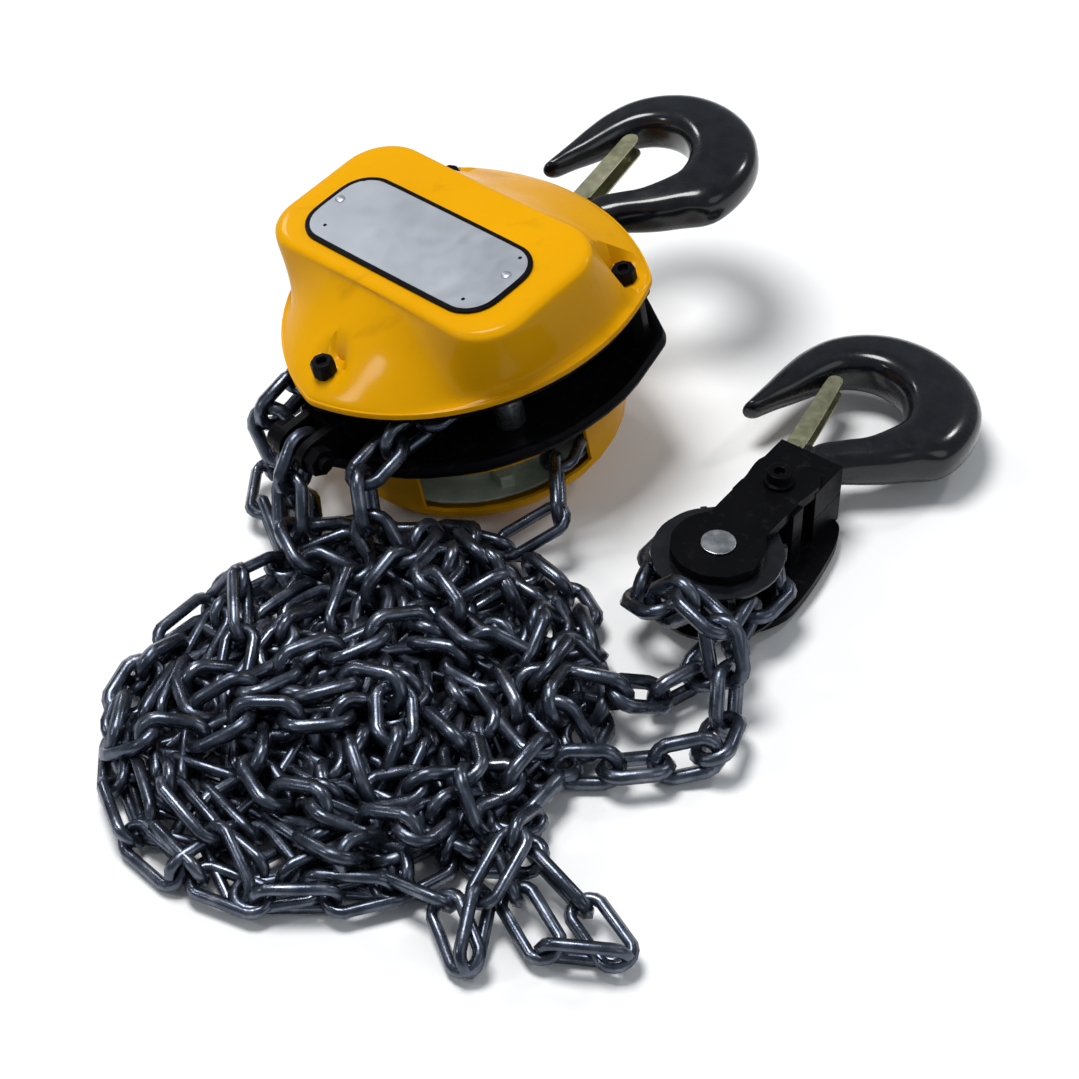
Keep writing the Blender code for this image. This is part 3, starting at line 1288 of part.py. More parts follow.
def local_points(matrix, points):
    return [matrix @ Vector(p) for p in points]


def floor_points(points):
    return [Vector(p) for p in points]


def make_chains(finish, body, block):
    load = (LOAD_PITCH, LOAD_WIRE, LOAD_INNER_WIDTH)
    hand = (HAND_PITCH, HAND_WIRE, HAND_INNER_WIDTH)
    hoist = body.matrix_world
    shaft = hoist.to_3x3() @ Vector((0, 0, 1))

    # Hand chain over its wheel: one strand falls out of the right window, the other runs left
    wrap = wheel_joints(hoist, WHEEL_MIDDLE, HAND_PITCH, HAND_POCKETS, 1, 6)
    out = local_points(hoist, [(HAND_RADIUS + 0.0095, -0.0095, WHEEL_MIDDLE)])
    right = strand(wrap[0], out + floor_points(HAND_RIGHT), HAND_PITCH)
    out = local_points(hoist, [
        (-HAND_RADIUS, -0.0375, WHEEL_MIDDLE), (-HAND_RADIUS, -0.0625, WHEEL_MIDDLE),
    ])
    left = strand(wrap[-1], out + floor_points(HAND_LEFT), HAND_PITCH)
    first = len(right) - 1
    make_chain(
        ("hand_chain_right", "hand_chain_on_wheel", "hand_chain_left"), (first, first + 6),
        list(reversed(right))[:-1] + wrap + left[1:], shaft, first + 3, hand, finish, (first + 1) % 2,
    )

    # Load chain over the load sheave
    wrap = wheel_joints(hoist, SHEAVE_MIDDLE, LOAD_PITCH, SHEAVE_POCKETS, 0, 6)
    reach = LOWER_STAY_DROP + CORNER_RADIUS
    out = local_points(hoist, [
        (SHEAVE_RADIUS, -0.045, SHEAVE_MIDDLE), (SHEAVE_RADIUS, -reach, SHEAVE_MIDDLE),
    ])
    ends = [on_heap(p, rolled(LOAD_WIDTH, LOAD_WIRE)) for p in LOAD_RIGHT_ON_HEAP]
    right = strand(wrap[0], out + floor_points(LOAD_RIGHT) + ends, LOAD_PITCH)
    out = local_points(hoist, [
        (-SHEAVE_RADIUS, -0.045, SHEAVE_MIDDLE), (-SHEAVE_RADIUS, -0.072, SHEAVE_MIDDLE),
        (-SHEAVE_RADIUS, -0.087, SHEAVE_MIDDLE - 0.0115),
    ])
    left = strand(wrap[-1], out + floor_points(LOAD_LEFT), LOAD_PITCH)
    first = len(right) - 1
    make_chain(
        ("load_chain_right", "load_chain_on_sheave", "load_chain_left"), (first, first + 6),
        list(reversed(right))[:-1] + wrap + left[1:], shaft, first + 3, load, finish, first % 2,
    )

    # The end of the load chain, hung on the anchor bolt
    spot = hoist @ anchor_spot()
    fall = (Vector(ANCHOR_STRAND[0]) - spot).normalized()
    start = spot - fall * (ANCHOR_BOLT_RADIUS + 1.4 * CLEARANCE)
    hung = strand(start, floor_points(ANCHOR_STRAND), LOAD_PITCH)
    across = (hoist.to_3x3() @ Vector((1, 0, 0))).cross(fall)
    make_chain(("load_chain_anchored",), (), hung, across, 0, load, finish, 0)

    # Load chain round the idler of the bottom block
    wrap = wheel_joints(block.matrix_world, BLOCK_MIDDLE, LOAD_PITCH, IDLER_POCKETS, 0, 5)
    ends = [on_heap(p, LOAD_WIDTH) for p in BLOCK_RIGHT_ON_HEAP]
    right = strand(wrap[0], floor_points(BLOCK_RIGHT) + ends, LOAD_PITCH)
    left = strand(wrap[-1], floor_points(BLOCK_LEFT), LOAD_PITCH)
    first = len(right) - 1
    make_chain(
        ("load_chain_block_right", "load_chain_on_idler", "load_chain_block_left"), (first, first + 5),
        list(reversed(right))[:-1] + wrap + left[1:], Vector((0, 0, 1)), first + 2, load, finish, first % 2,
    )

    # Heap: a solid core with runs of both chains lying on it and round its foot
    core = place(object_of("chain_heap", heap_core()), finish, None)
    path = [on_heap(heap_spot(116 + 1.5 * i, 0.64 - 0.0008 * i), LOAD_WIDTH) for i in range(200)]
    runs = march(path, LOAD_PITCH, HEAP_LOAD_LINKS)
    slack = make_chain(("heap_load_chain",), (), runs, Vector((0, 0, 1)), 0, load, finish, 0)
    seat(slack[0], core, Vector((0, 0, -1)))
    half = rolled(HAND_WIDTH, HAND_WIRE) / 2
    path = []
    for i in range(170):
        edge = heap_spot(150 + 1.2 * i, 1.0)
        outward = (edge - Vector(HEAP_CENTRE)).normalized()
        path.append(Vector((*(edge + outward * (half + 4 * CLEARANCE)), half + CLEARANCE)))
    runs = march(path, HAND_PITCH, HEAP_HAND_LINKS)
    roll = (path[0] - Vector((*HEAP_CENTRE, path[0].z))).normalized() + Vector((0, 0, 1))
    slack = make_chain(("heap_hand_chain",), (), runs, roll.normalized(), 0, hand, finish, 0)
    seat(slack[0], core, Vector((0, 1, 0)))


def seat(thing, base, way):
    # Slide a loose piece along one direction until it lies just clear of another
    bpy.context.view_layer.update()
    graph = bpy.context.evaluated_depsgraph_get()
    room = []
    for mover, other, heading in ((thing, base, way), (base, thing, -way)):
        tree = BVHTree.FromObject(other, graph)
        for vertex in mover.data.vertices:
            spot = other.matrix_world.inverted() @ (mover.matrix_world @ vertex.co)
            reached = tree.ray_cast(spot, heading)[3]
            if reached is not None:
                room.append(reached)
    thing.location += way * (min(room) - 2 * CLEARANCE)


def rolled(width, wire):
    # Height of a chain whose links lie turned half way to either side
    return (width - wire) * math.sqrt(0.5) + wire


def heap_lump(turn):
    return 1 + 0.05 * math.sin(3 * turn + 0.6)


def heap_spot(angle, share):
    # Point at a share of the way from the middle of the heap to its rim
    turn = math.radians(angle)
    reach = share * heap_lump(turn)
    across = HEAP_HALF_WIDTH * math.cos(turn) * reach
    return Vector((HEAP_CENTRE[0] + across, HEAP_CENTRE[1] + HEAP_HALF_DEPTH * math.sin(turn) * reach))


def heap_rise(share):
    return HEAP_HEIGHT * (1 - min(1.0, share) ** 2.2) ** 0.8


def on_heap(spot, width):
    # Height at which a chain of this width rests on the core, clear of its slope
    across = (spot[0] - HEAP_CENTRE[0]) / HEAP_HALF_WIDTH
    along = (spot[1] - HEAP_CENTRE[1]) / HEAP_HALF_DEPTH
    share = math.hypot(across, along) / heap_lump(math.atan2(along, across))
    slope = max(0.0, heap_rise(share - 0.05) - heap_rise(share + 0.05)) / (0.1 * HEAP_HALF_WIDTH)
    return Vector((spot[0], spot[1], heap_rise(share) + width / 2 * math.sqrt(1 + slope ** 2) + RUNNING_GAP))


def heap_core():
    rings = []
    for share, z in ((1.0, 0.0), (1.0, 0.003), (0.95, None), (0.84, None), (0.66, None), (0.42, None), (0.16, None)):
        height = heap_rise(share) if z is None else z
        rings.append(level([heap_spot(18 * i, share) for i in range(20)], height))
    return loft(rings)


# Where the strands lie between the hoist, the bottom block and the heap
HAND_RIGHT = (
    (0.011, -0.004, 0.030), (0.002, -0.014, 0.016), (-0.020, -0.016, 0.0095), (-0.042, -0.015, 0.0105),
)
HAND_LEFT = ((-0.1085, 0.031, 0.0115), (-0.1095, 0.012, 0.0105), (-0.112, -0.018, 0.0100), (-0.124, -0.036, 0.0105))
LOAD_RIGHT = ((-0.0665, -0.021, 0.040),)
LOAD_RIGHT_ON_HEAP = ((-0.064, -0.034), (-0.060, -0.050), (-0.057, -0.068))
LOAD_LEFT = ((-0.0995, 0.0205, 0.025), (-0.087, 0.013, 0.0135), (-0.078, 0.001, 0.0115))
ANCHOR_STRAND = ((-0.09736, -0.00257, 0.0408), (-0.0962, -0.0085, 0.024), (-0.0945, -0.0175, 0.0115))
BLOCK_RIGHT = ((0.0745, -0.0735, 0.0192), (0.060, -0.086, 0.0112), (0.044, -0.097, 0.0108), (0.032, -0.103, 0.0115))
BLOCK_RIGHT_ON_HEAP = ((0.014, -0.107), (-0.004, -0.108), (-0.022, -0.109))
BLOCK_LEFT = (
    (0.0385, -0.048, 0.0185), (0.043, -0.063, 0.023), (0.056, -0.075, 0.0412), (0.067, -0.087, 0.0355),
    (0.0695, -0.103, 0.0115), (0.063, -0.125, 0.0108), (0.054, -0.146, 0.0108), (0.040, -0.141, 0.0108),
)


def lowest(things):
    bpy.context.view_layer.update()
    return min((t.matrix_world @ v.co).z for t in things for v in t.data.vertices)


def settle(things):
    # Puts the origin under the middle of these objects, at the height of the lowest
    bpy.context.view_layer.update()
    spots = [t.matrix_world @ v.co for t in things for v in t.data.vertices]
    shift = Vector((
        (min(p.x for p in spots) + max(p.x for p in spots)) / 2,
        (min(p.y for p in spots) + max(p.y for p in spots)) / 2,
        min(p.z for p in spots),
    ))
    for thing in bpy.data.objects:
        if thing.parent is None:
            thing.location = thing.location - shift


def main():
    for thing in list(bpy.data.objects):
        bpy.data.objects.remove(thing)
    finishes = {
        "yellow": make_finish("yellow_enamel", (0.90, 0.43, 0.012), 0.0, 0.28),
        "black": make_finish("black_paint", (0.012, 0.012, 0.014), 0.0, 0.38),
        "forged": make_finish("forged_black", (0.016, 0.017, 0.020), 0.2, 0.32),
        "steel": make_finish("machined_steel", (0.55, 0.56, 0.58), 1.0, 0.30),
        "cast": make_finish("cast_grey_green", (0.22, 0.25, 0.22), 0.3, 0.55),
        "zinc": make_finish("yellow_zinc", (0.50, 0.47, 0.30), 0.9, 0.35),
        "plate": make_finish("plate_aluminium", (0.62, 0.63, 0.65), 1.0, 0.35),
        "lining": make_finish("brake_lining", (0.10, 0.07, 0.05), 0.0, 0.85),
        "chain": make_finish("oiled_chain_steel", (0.10, 0.11, 0.13), 1.0, 0.32),
    }
    lie = (
        Matrix.Rotation(math.radians(BODY_ROLL), 3, "Y")
        @ Matrix.Rotation(math.radians(BODY_PITCH), 3, "X")
        @ Matrix.Rotation(math.radians(BODY_YAW), 3, "Z")
    )
    body = empty("body_frame", (*BODY_PLACE, 0), lie)
    make_gear_cover(finishes["yellow"], body)
    make_name_plate(finishes["plate"], body)
    make_gear_side_plate(finishes["black"], body)
    make_hand_side_plate(finishes["black"], body)
    make_hand_wheel_cover(finishes["yellow"], body)
    make_stay_bolts(finishes["black"], body)
    make_load_sheave(finishes["cast"], body)
    make_load_gear(finishes["steel"], body)
    make_intermediate_gears(finishes["steel"], body)
    make_drive_shaft(finishes["steel"], body)
    make_bearings(finishes["steel"], body)
    make_hand_wheel(finishes["cast"], body)
    make_wheel_nut(finishes["steel"], body)
    make_brake(finishes["steel"], finishes["lining"], body)
    make_ratchet(finishes["steel"], body)
    make_pawls(finishes["steel"], body)
    make_guides(finishes["steel"], body)
    make_anchor(finishes["black"], finishes["black"], body)
    make_top_hook(finishes, body)
    body.location.z = -lowest([t for t in bpy.data.objects if t.type == "MESH"])
    block = empty("block_frame", (*BLOCK_PLACE, 0), Matrix.Rotation(math.radians(BLOCK_YAW), 3, "Z"))
    make_bottom_block(finishes, block)
    solid = [t for t in bpy.data.objects if t.type == "MESH"]
    bpy.context.view_layer.update()
    make_chains(finishes["chain"], body, block)
    settle(solid)


main()
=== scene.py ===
import json
import math

import bmesh
import bpy
import numpy as np
from mathutils import Matrix, Vector


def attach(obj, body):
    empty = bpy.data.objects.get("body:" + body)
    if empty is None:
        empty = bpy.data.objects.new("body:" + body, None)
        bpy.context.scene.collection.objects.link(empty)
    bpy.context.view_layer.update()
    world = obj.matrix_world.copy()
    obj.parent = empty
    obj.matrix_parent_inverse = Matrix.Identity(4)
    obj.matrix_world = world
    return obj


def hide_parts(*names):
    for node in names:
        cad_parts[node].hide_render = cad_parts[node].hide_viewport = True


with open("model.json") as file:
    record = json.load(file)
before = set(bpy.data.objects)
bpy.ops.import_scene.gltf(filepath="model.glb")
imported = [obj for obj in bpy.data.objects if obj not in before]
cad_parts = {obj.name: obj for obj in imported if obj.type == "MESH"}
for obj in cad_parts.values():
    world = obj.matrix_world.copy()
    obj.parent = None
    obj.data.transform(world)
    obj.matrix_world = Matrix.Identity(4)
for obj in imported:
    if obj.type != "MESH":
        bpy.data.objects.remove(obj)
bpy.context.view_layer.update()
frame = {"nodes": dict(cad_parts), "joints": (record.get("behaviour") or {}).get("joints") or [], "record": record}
nodes = frame["nodes"]
scene = bpy.context.scene
scene.view_settings.view_transform = "Standard"
print("frame loaded", len(nodes))


# Camera and studio

view = {
    "target": (-0.0370, -0.0602, 0.0),
    "elevation": 43.0,
    "distance": 1.1,
    "focalPixels": 2750.0,
    "framePixels": 1079.0,
    "sensor": 36.0,
    "nearest": 0.05,
}


def addCamera(settings):
    data = bpy.data.cameras.new("camera")
    data.sensor_width = settings["sensor"]
    data.lens = settings["sensor"] * settings["focalPixels"] / settings["framePixels"]
    data.clip_start = settings["nearest"]
    camera = bpy.data.objects.new("camera", data)
    lift = math.radians(settings["elevation"])
    back = Vector((0, -math.cos(lift), math.sin(lift))) * settings["distance"]
    camera.location = Vector(settings["target"]) + back
    camera.rotation_euler = (math.pi / 2 - lift, 0, 0)
    scene.collection.objects.link(camera)
    scene.camera = camera


addCamera(view)

lamps = (
    {"name": "keyLamp", "place": (-0.35, 0.05, 1.45), "size": 0.6, "power": 18.5},
    {"name": "fillLamp", "place": (1.0, -0.9, 0.9), "size": 1.0, "power": 2.6},
    {"name": "backGlint", "place": (-0.7, 0.95, 0.8), "size": 0.22, "power": 2.2},
    {"name": "leftGlint", "place": (-1.0, -0.45, 0.75), "size": 0.16, "power": 1.5},
    {"name": "rightGlint", "place": (0.85, 0.55, 0.95), "size": 0.16, "power": 2.2},
)


def addLamp(settings):
    data = bpy.data.lights.new(settings["name"], "AREA")
    data.shape = "DISK"
    data.size = settings["size"]
    data.energy = settings["power"]
    lamp = bpy.data.objects.new(settings["name"], data)
    lamp.location = settings["place"]
    aim = Vector(view["target"]) - lamp.location
    lamp.rotation_euler = aim.to_track_quat("-Z", "Y").to_euler()
    scene.collection.objects.link(lamp)


for settings in lamps:
    addLamp(settings)

studio = {"colour": (0.82, 0.91, 1.0, 1.0), "strength": 0.24}


def addWorld(settings):
    world = bpy.data.worlds.new("studio")
    world.use_nodes = True
    inputs = world.node_tree.nodes["Background"].inputs
    inputs["Color"].default_value = settings["colour"]
    inputs["Strength"].default_value = settings["strength"]
    scene.world = world


addWorld(studio)


# Materials: each works in object coordinates, in metres. A noise is its scale, its detail and a stretch

def addNode(tree, kind, **inputs):
    node = tree.nodes.new(kind)
    for name, value in inputs.items():
        node.inputs[name.replace("_", " ")].default_value = value
    return node


def coordinates(tree, stretch=(1, 1, 1)):
    place = tree.nodes.new("ShaderNodeTexCoord")
    turn = tree.nodes.new("ShaderNodeMapping")
    turn.inputs["Scale"].default_value = stretch
    tree.links.new(place.outputs["Object"], turn.inputs["Vector"])
    return turn.outputs["Vector"]


def noise(tree, scale, detail=4.0, stretch=(1, 1, 1)):
    node = addNode(tree, "ShaderNodeTexNoise", Scale=scale, Detail=detail)
    tree.links.new(coordinates(tree, stretch), node.inputs["Vector"])
    return node.outputs["Fac"]


def ramp(tree, source, stops):
    node = tree.nodes.new("ShaderNodeValToRGB")
    elements = node.color_ramp.elements
    while len(elements) < len(stops):
        elements.new(0.5)
    for element, (place, colour) in zip(elements, stops):
        element.position = place
        element.color = (*colour, 1)
    tree.links.new(source, node.inputs["Fac"])
    return node.outputs["Color"]


def levels(tree, source, low, high, start=0.3, stop=0.7):
    node = addNode(tree, "ShaderNodeMapRange", From_Min=start, From_Max=stop, To_Min=low, To_Max=high)
    tree.links.new(source, node.inputs["Value"])
    return node.outputs["Result"]


def blended(tree, share, first, colour):
    node = tree.nodes.new("ShaderNodeMix")
    node.data_type = "RGBA"
    tree.links.new(share, node.inputs["Factor"])
    tree.links.new(first, node.inputs["A"])
    node.inputs["B"].default_value = (*colour, 1)
    return node.outputs["Result"]


def bumped(tree, shader, bumps):
    last = None
    for grain, strength, depth in bumps:
        node = addNode(tree, "ShaderNodeBump", Strength=strength, Distance=depth)
        tree.links.new(noise(tree, *grain), node.inputs["Height"])
        if last:
            tree.links.new(last, node.inputs["Normal"])
        last = node.outputs["Normal"]
    if last:
        tree.links.new(last, shader.inputs["Normal"])


def makeFinish(settings):
    material = bpy.data.materials.new(settings["name"])
    material.use_nodes = True
    tree = material.node_tree
    shader = tree.nodes["Principled BSDF"]
    shader.inputs["Metallic"].default_value = settings.get("metallic", 0.0)
    shader.inputs["Coat Weight"].default_value = settings.get("coat", 0.0)
    shader.inputs["Coat Roughness"].default_value = settings.get("coatRoughness", 0.1)
    shader.inputs["Specular IOR Level"].default_value = settings.get("specular", 0.5)
    tone = ramp(tree, noise(tree, *settings["toneNoise"]), settings["tone"])
    if "grime" in settings:
        patches = ramp(tree, noise(tree, *settings["grimeNoise"]), settings["grime"])
        tone = blended(tree, patches, tone, settings["grimeColour"])
    tree.links.new(tone, shader.inputs["Base Color"])
    rough = levels(tree, noise(tree, *settings["roughNoise"]), *settings["rough"])
    tree.links.new(rough, shader.inputs["Roughness"])
    bumped(tree, shader, settings["bumps"])
    return material


finishes = {
    "yellow_enamel": {
        "name": "yellowEnamel", "coat": 0.12, "coatRoughness": 0.10, "specular": 0.02,
        "toneNoise": (14.0, 5.0), "tone": ((0.25, (0.63, 0.290, 0.001)), (0.75, (0.71, 0.335, 0.001))),
        "grimeNoise": (46.0, 8.0, (1.0, 2.4, 1.0)), "grimeColour": (0.28, 0.115, 0.004),
        "grime": ((0.60, (0, 0, 0)), (0.80, (0.35, 0.35, 0.35))),
        "roughNoise": (60.0, 6.0), "rough": (0.20, 0.42),
        "bumps": (((420.0, 2.0), 0.10, 0.0004), ((30.0, 2.0), 0.10, 0.0010)),
    },
    "black_paint": {
        "name": "blackPaint", "coat": 0.05, "coatRoughness": 0.15, "specular": 0.04,
        "toneNoise": (300.0, 6.0), "tone": ((0.58, (0.003, 0.003, 0.004)), (0.80, (0.012, 0.012, 0.012))),
        "roughNoise": (90.0, 5.0), "rough": (0.30, 0.52),
        "bumps": (((700.0, 3.0), 0.15, 0.0003),),
    },
    "forged_black": {
        "name": "forgedBlack", "coat": 0.85, "coatRoughness": 0.16, "specular": 0.06,
        "toneNoise": (120.0, 6.0), "tone": ((0.35, (0.003, 0.003, 0.005)), (0.75, (0.008, 0.009, 0.012))),
        "roughNoise": (150.0, 6.0), "rough": (0.22, 0.50),
        "bumps": (((95.0, 4.0), 0.40, 0.0020), ((420.0, 4.0), 0.30, 0.0006)),
    },
    "machined_steel": {
        "name": "machinedSteel", "metallic": 1.0,
        "toneNoise": (80.0, 5.0), "tone": ((0.3, (0.36, 0.37, 0.39)), (0.7, (0.62, 0.63, 0.65))),
        "roughNoise": (240.0, 4.0, (1, 1, 8)), "rough": (0.22, 0.42),
        "bumps": (((1500.0, 2.0, (1, 1, 10)), 0.12, 0.0002),),
    },
    "cast_grey_green": {
        "name": "castGreyGreen", "metallic": 0.25,
        "toneNoise": (110.0, 7.0), "tone": ((0.3, (0.34, 0.38, 0.30)), (0.7, (0.54, 0.58, 0.47))),
        "roughNoise": (200.0, 5.0), "rough": (0.42, 0.68),
        "bumps": (((420.0, 6.0), 0.40, 0.0008),),
    },
    "yellow_zinc": {
        "name": "yellowZinc", "metallic": 0.85,
        "toneNoise": (95.0, 6.0),
        "tone": ((0.3, (0.27, 0.27, 0.16)), (0.55, (0.40, 0.39, 0.25)), (0.8, (0.46, 0.43, 0.31))),
        "roughNoise": (260.0, 5.0), "rough": (0.26, 0.48),
        "bumps": (((800.0, 3.0), 0.12, 0.0003),),
    },
    "plate_aluminium": {
        "name": "plateAluminium", "metallic": 0.8,
        "toneNoise": (40.0, 7.0), "tone": ((0.3, (0.36, 0.38, 0.42)), (0.7, (0.43, 0.45, 0.49))),
        "roughNoise": (160.0, 6.0), "rough": (0.38, 0.46),
        "bumps": (((900.0, 2.0, (3, 0.3, 1)), 0.10, 0.0002),),
    },
    "brake_lining": {
        "name": "brakeLining",
        "toneNoise": (700.0, 8.0), "tone": ((0.3, (0.06, 0.045, 0.035)), (0.7, (0.16, 0.12, 0.09))),
        "roughNoise": (300.0, 4.0), "rough": (0.75, 0.92),
        "bumps": (((900.0, 5.0), 0.30, 0.0005),),
    },
    "oiled_chain_steel": {
        "name": "chainSteel", "metallic": 0.92, "coat": 0.12, "coatRoughness": 0.18,
        "toneNoise": (130.0, 6.0),
        "tone": ((0.28, (0.040, 0.048, 0.067)), (0.55, (0.098, 0.114, 0.150)), (0.8, (0.21, 0.226, 0.270))),
        "roughNoise": (210.0, 5.0), "rough": (0.20, 0.38),
        "bumps": (((600.0, 4.0), 0.25, 0.0004),),
    },
}
materials = {slot: makeFinish(settings) for slot, settings in finishes.items()}
record = frame["record"]
slotOf = {entry["node"]: entry["material_slot"] for entry in record["subparts"]}
slotOf["idler_sheave"] = "forged_black"
bodyOf = {node: body for body, members in record["behaviour"]["bodies"].items() for node in members}
jointOf = {joint["name"]: joint for joint in frame["joints"]}
print("materials made", len(materials))


# Floor

ground = {
    "size": 4.0, "drop": 0.0003,
    "finish": {
        "name": "floorPaint",
        "toneNoise": (3.0, 4.0), "tone": ((0.3, (0.92, 0.92, 0.92)), (0.7, (0.94, 0.94, 0.94))),
        "roughNoise": (3.0, 4.0), "rough": (0.8, 0.8),
        "bumps": (),
    },
}


def addFloor(settings):
    mesh = bpy.data.meshes.new("floor")
    build = bmesh.new()
    bmesh.ops.create_grid(build, x_segments=2, y_segments=2, size=settings["size"])
    bmesh.ops.translate(build, verts=build.verts, vec=(0, 0, -settings["drop"]))
    build.to_mesh(mesh)
    build.free()
    floor = bpy.data.objects.new("floor", mesh)
    mesh.materials.append(makeFinish(settings["finish"]))
    scene.collection.objects.link(floor)


addFloor(ground)


# Chains: the runs repeat the CAD's points, in millimetres, and the loose length is packed into the heap

loadLink = {"pitch": 18.0, "wire": 6.0, "inner": 8.0, "ball": 6.6, "floor": 8.0}
handLink = {"pitch": 25.0, "wire": 5.0, "inner": 7.0, "ball": 5.8, "floor": 6.9}
lies = {
    "middle": (-36.96, -60.1753, 0.0),  # of the CAD's points, in the frame
    "hoist": {"place": (-34.0, 60.0, 76.0146), "roll": -9.5, "pitch": 3.0, "yaw": -47.0},
    "block": {"place": (68.0, -40.0, 0.0), "roll": 0.0, "pitch": 0.0, "yaw": -36.0},
}
wheels = {
    "handWrap": {"on": "hoist", "link": handLink, "pockets": 6, "first": 1, "links": 6, "level": -50.9},
    "sheaveWrap": {"on": "hoist", "link": loadLink, "pockets": 5, "first": 0, "links": 6, "level": -16.3},
    "idlerWrap": {"on": "block", "link": loadLink, "pockets": 4, "first": 0, "links": 5, "level": 19.1},
}
anchorBolt = {"on": "hoist", "place": (0.0, -86.1, -16.3), "back": 3.52, "link": loadLink}
# A point beside a wheel is measured from its pitch radius, axis and level, the others from the CAD's middle
runs = {
    "handRight": {
        "wheel": "handWrap", "side": 1, "beside": ((9.5, -9.5, 0.0),), "links": 4,
        "points": ((11.0, -4.0, 30.0), (2.0, -14.0, 16.0), (-20.0, -16.0, 9.5), (-42.0, -15.0, 10.5)),
    },
    "handLeft": {
        "wheel": "handWrap", "side": -1, "beside": ((0.0, -37.5, 0.0), (0.0, -62.5, 0.0)), "links": 5,
        "points": ((-108.5, 31.0, 11.5), (-109.5, 12.0, 10.5), (-112.0, -18.0, 10.0), (-124.0, -36.0, 10.5)),
    },
    "loadRight": {
        "wheel": "sheaveWrap", "side": 1, "beside": ((0.0, -45.0, 0.0), (0.0, -76.5, 0.0)), "links": 6,
        "points": ((-66.5, -21.0, 40.0), (-64.0, -34.0, 21.73), (-60.0, -50.0, 30.97), (-57.0, -68.0, 38.08)),
    },
    "loadLeft": {
        "wheel": "sheaveWrap", "side": -1, "links": 6,
        "beside": ((0.0, -45.0, 0.0), (0.0, -72.0, 0.0), (0.0, -87.0, -11.5)),
        "points": ((-99.5, 20.5, 25.0), (-87.0, 13.0, 13.5), (-78.0, 1.0, 11.5)),
    },
    "anchored": {
        "links": 2, "points": ((-97.36, -2.57, 40.8), (-96.2, -8.5, 24.0), (-94.5, -17.5, 11.5)),
    },
    "blockRight": {
        "wheel": "idlerWrap", "side": 1, "beside": (), "links": 4,
        "points": (
            (74.5, -73.5, 19.2), (60.0, -86.0, 11.2), (44.0, -97.0, 10.8), (32.0, -103.0, 11.5),
            (14.0, -107.0, 26.2), (-4.0, -108.0, 35.99),
        ),
    },
    "blockLeft": {
        "wheel": "idlerWrap", "side": -1, "beside": (), "links": 8,
        "points": (
            (38.5, -48.0, 18.5), (43.0, -63.0, 23.0), (56.0, -75.0, 41.2), (67.0, -87.0, 35.5),
            (69.5, -103.0, 11.5), (63.0, -125.0, 10.8), (54.0, -146.0, 10.8), (40.0, -141.0, 10.8),
        ),
    },
}


def between(values, i, share):
    # Smooth curve through the values at i - 1, i, i + 1 and i + 2
    a, b, c, d = (values[min(max(k, 0), len(values) - 1)] for k in (i - 1, i, i + 1, i + 2))
    return b + ((c - a) + (2 * a - 5 * b + 4 * c - d + (3 * b - a - 3 * c + d) * share) * share) * (share / 2)


def lieMatrix(name):
    lie = lies[name]
    turn = Matrix.Rotation(math.radians(lie["roll"]), 4, "Y")
    turn = turn @ Matrix.Rotation(math.radians(lie["pitch"]), 4, "X")
    turn = turn @ Matrix.Rotation(math.radians(lie["yaw"]), 4, "Z")
    return Matrix.Translation(Vector(lies["middle"]) + Vector(lie["place"])) @ turn


def placed(name, points):
    matrix = np.array(lieMatrix(name))
    return [matrix[:3, :3] @ p + matrix[:3, 3] for p in points]


def pitchRadius(wheel):
    return wheel["link"]["pitch"] / (2 * math.sin(math.pi / (2 * wheel["pockets"])))


def wheelJoints(wheel):
    # Where the links on a pocket wheel meet
    radius, level = pitchRadius(wheel), wheel["level"]
    step = math.pi / wheel["pockets"]
    turns = [step * (wheel["first"] + i - 0.5) for i in range(wheel["links"] + 1)]
    return placed(wheel["on"], [(radius * math.cos(t), radius * math.sin(t), level) for t in turns])


def runStart(run, points):
    # A run leaves its wheel at one end of the wrap, or else hangs on the anchor bolt
    if "wheel" not in run:
        spot = placed(anchorBolt["on"], [anchorBolt["place"]])[0]
        fall = points[0] - spot
        return [spot - fall / np.linalg.norm(fall) * anchorBolt["back"]], anchorBolt["link"]
    wheel = wheels[run["wheel"]]
    reach, level = run["side"] * pitchRadius(wheel), wheel["level"]
    beside = placed(wheel["on"], [(reach + x, y, level + z) for x, y, z in run["beside"]])
    return [wheelJoints(wheel)[0 if run["side"] > 0 else -1], *beside], wheel["link"]


def runJoints(run, steps=24):
    # Marches along a smooth path, one pitch in a straight line for each link
    points = [np.array(p) + lies["middle"] for p in run["points"]]
    start, link = runStart(run, points)
    points = start + points
    ends = [2 * points[0] - points[1], *points, 2 * points[-1] - points[-2]]
    path = [between(ends, i, k / steps) for i in range(1, len(points)) for k in range(steps)]
    joints = [path[0]]
    for a, b in zip(path, path[1:] + points[-1:]):
        while np.linalg.norm(b - joints[-1]) >= link["pitch"]:
            way, gap = b - a, a - joints[-1]
            along, square = gap.dot(way), way.dot(way)
            share = math.sqrt(along ** 2 - square * (gap.dot(gap) - link["pitch"] ** 2)) - along
            a = a + way * share / square
            joints.append(a)
    return joints[:run["links"] + 1]


# Joints of every run, kept to a tenth of a millimetre
routes = {name: list(np.round(wheelJoints(wheel), 1)) for name, wheel in wheels.items()}
routes.update({name: list(np.round(runJoints(run), 1)) for name, run in runs.items()})

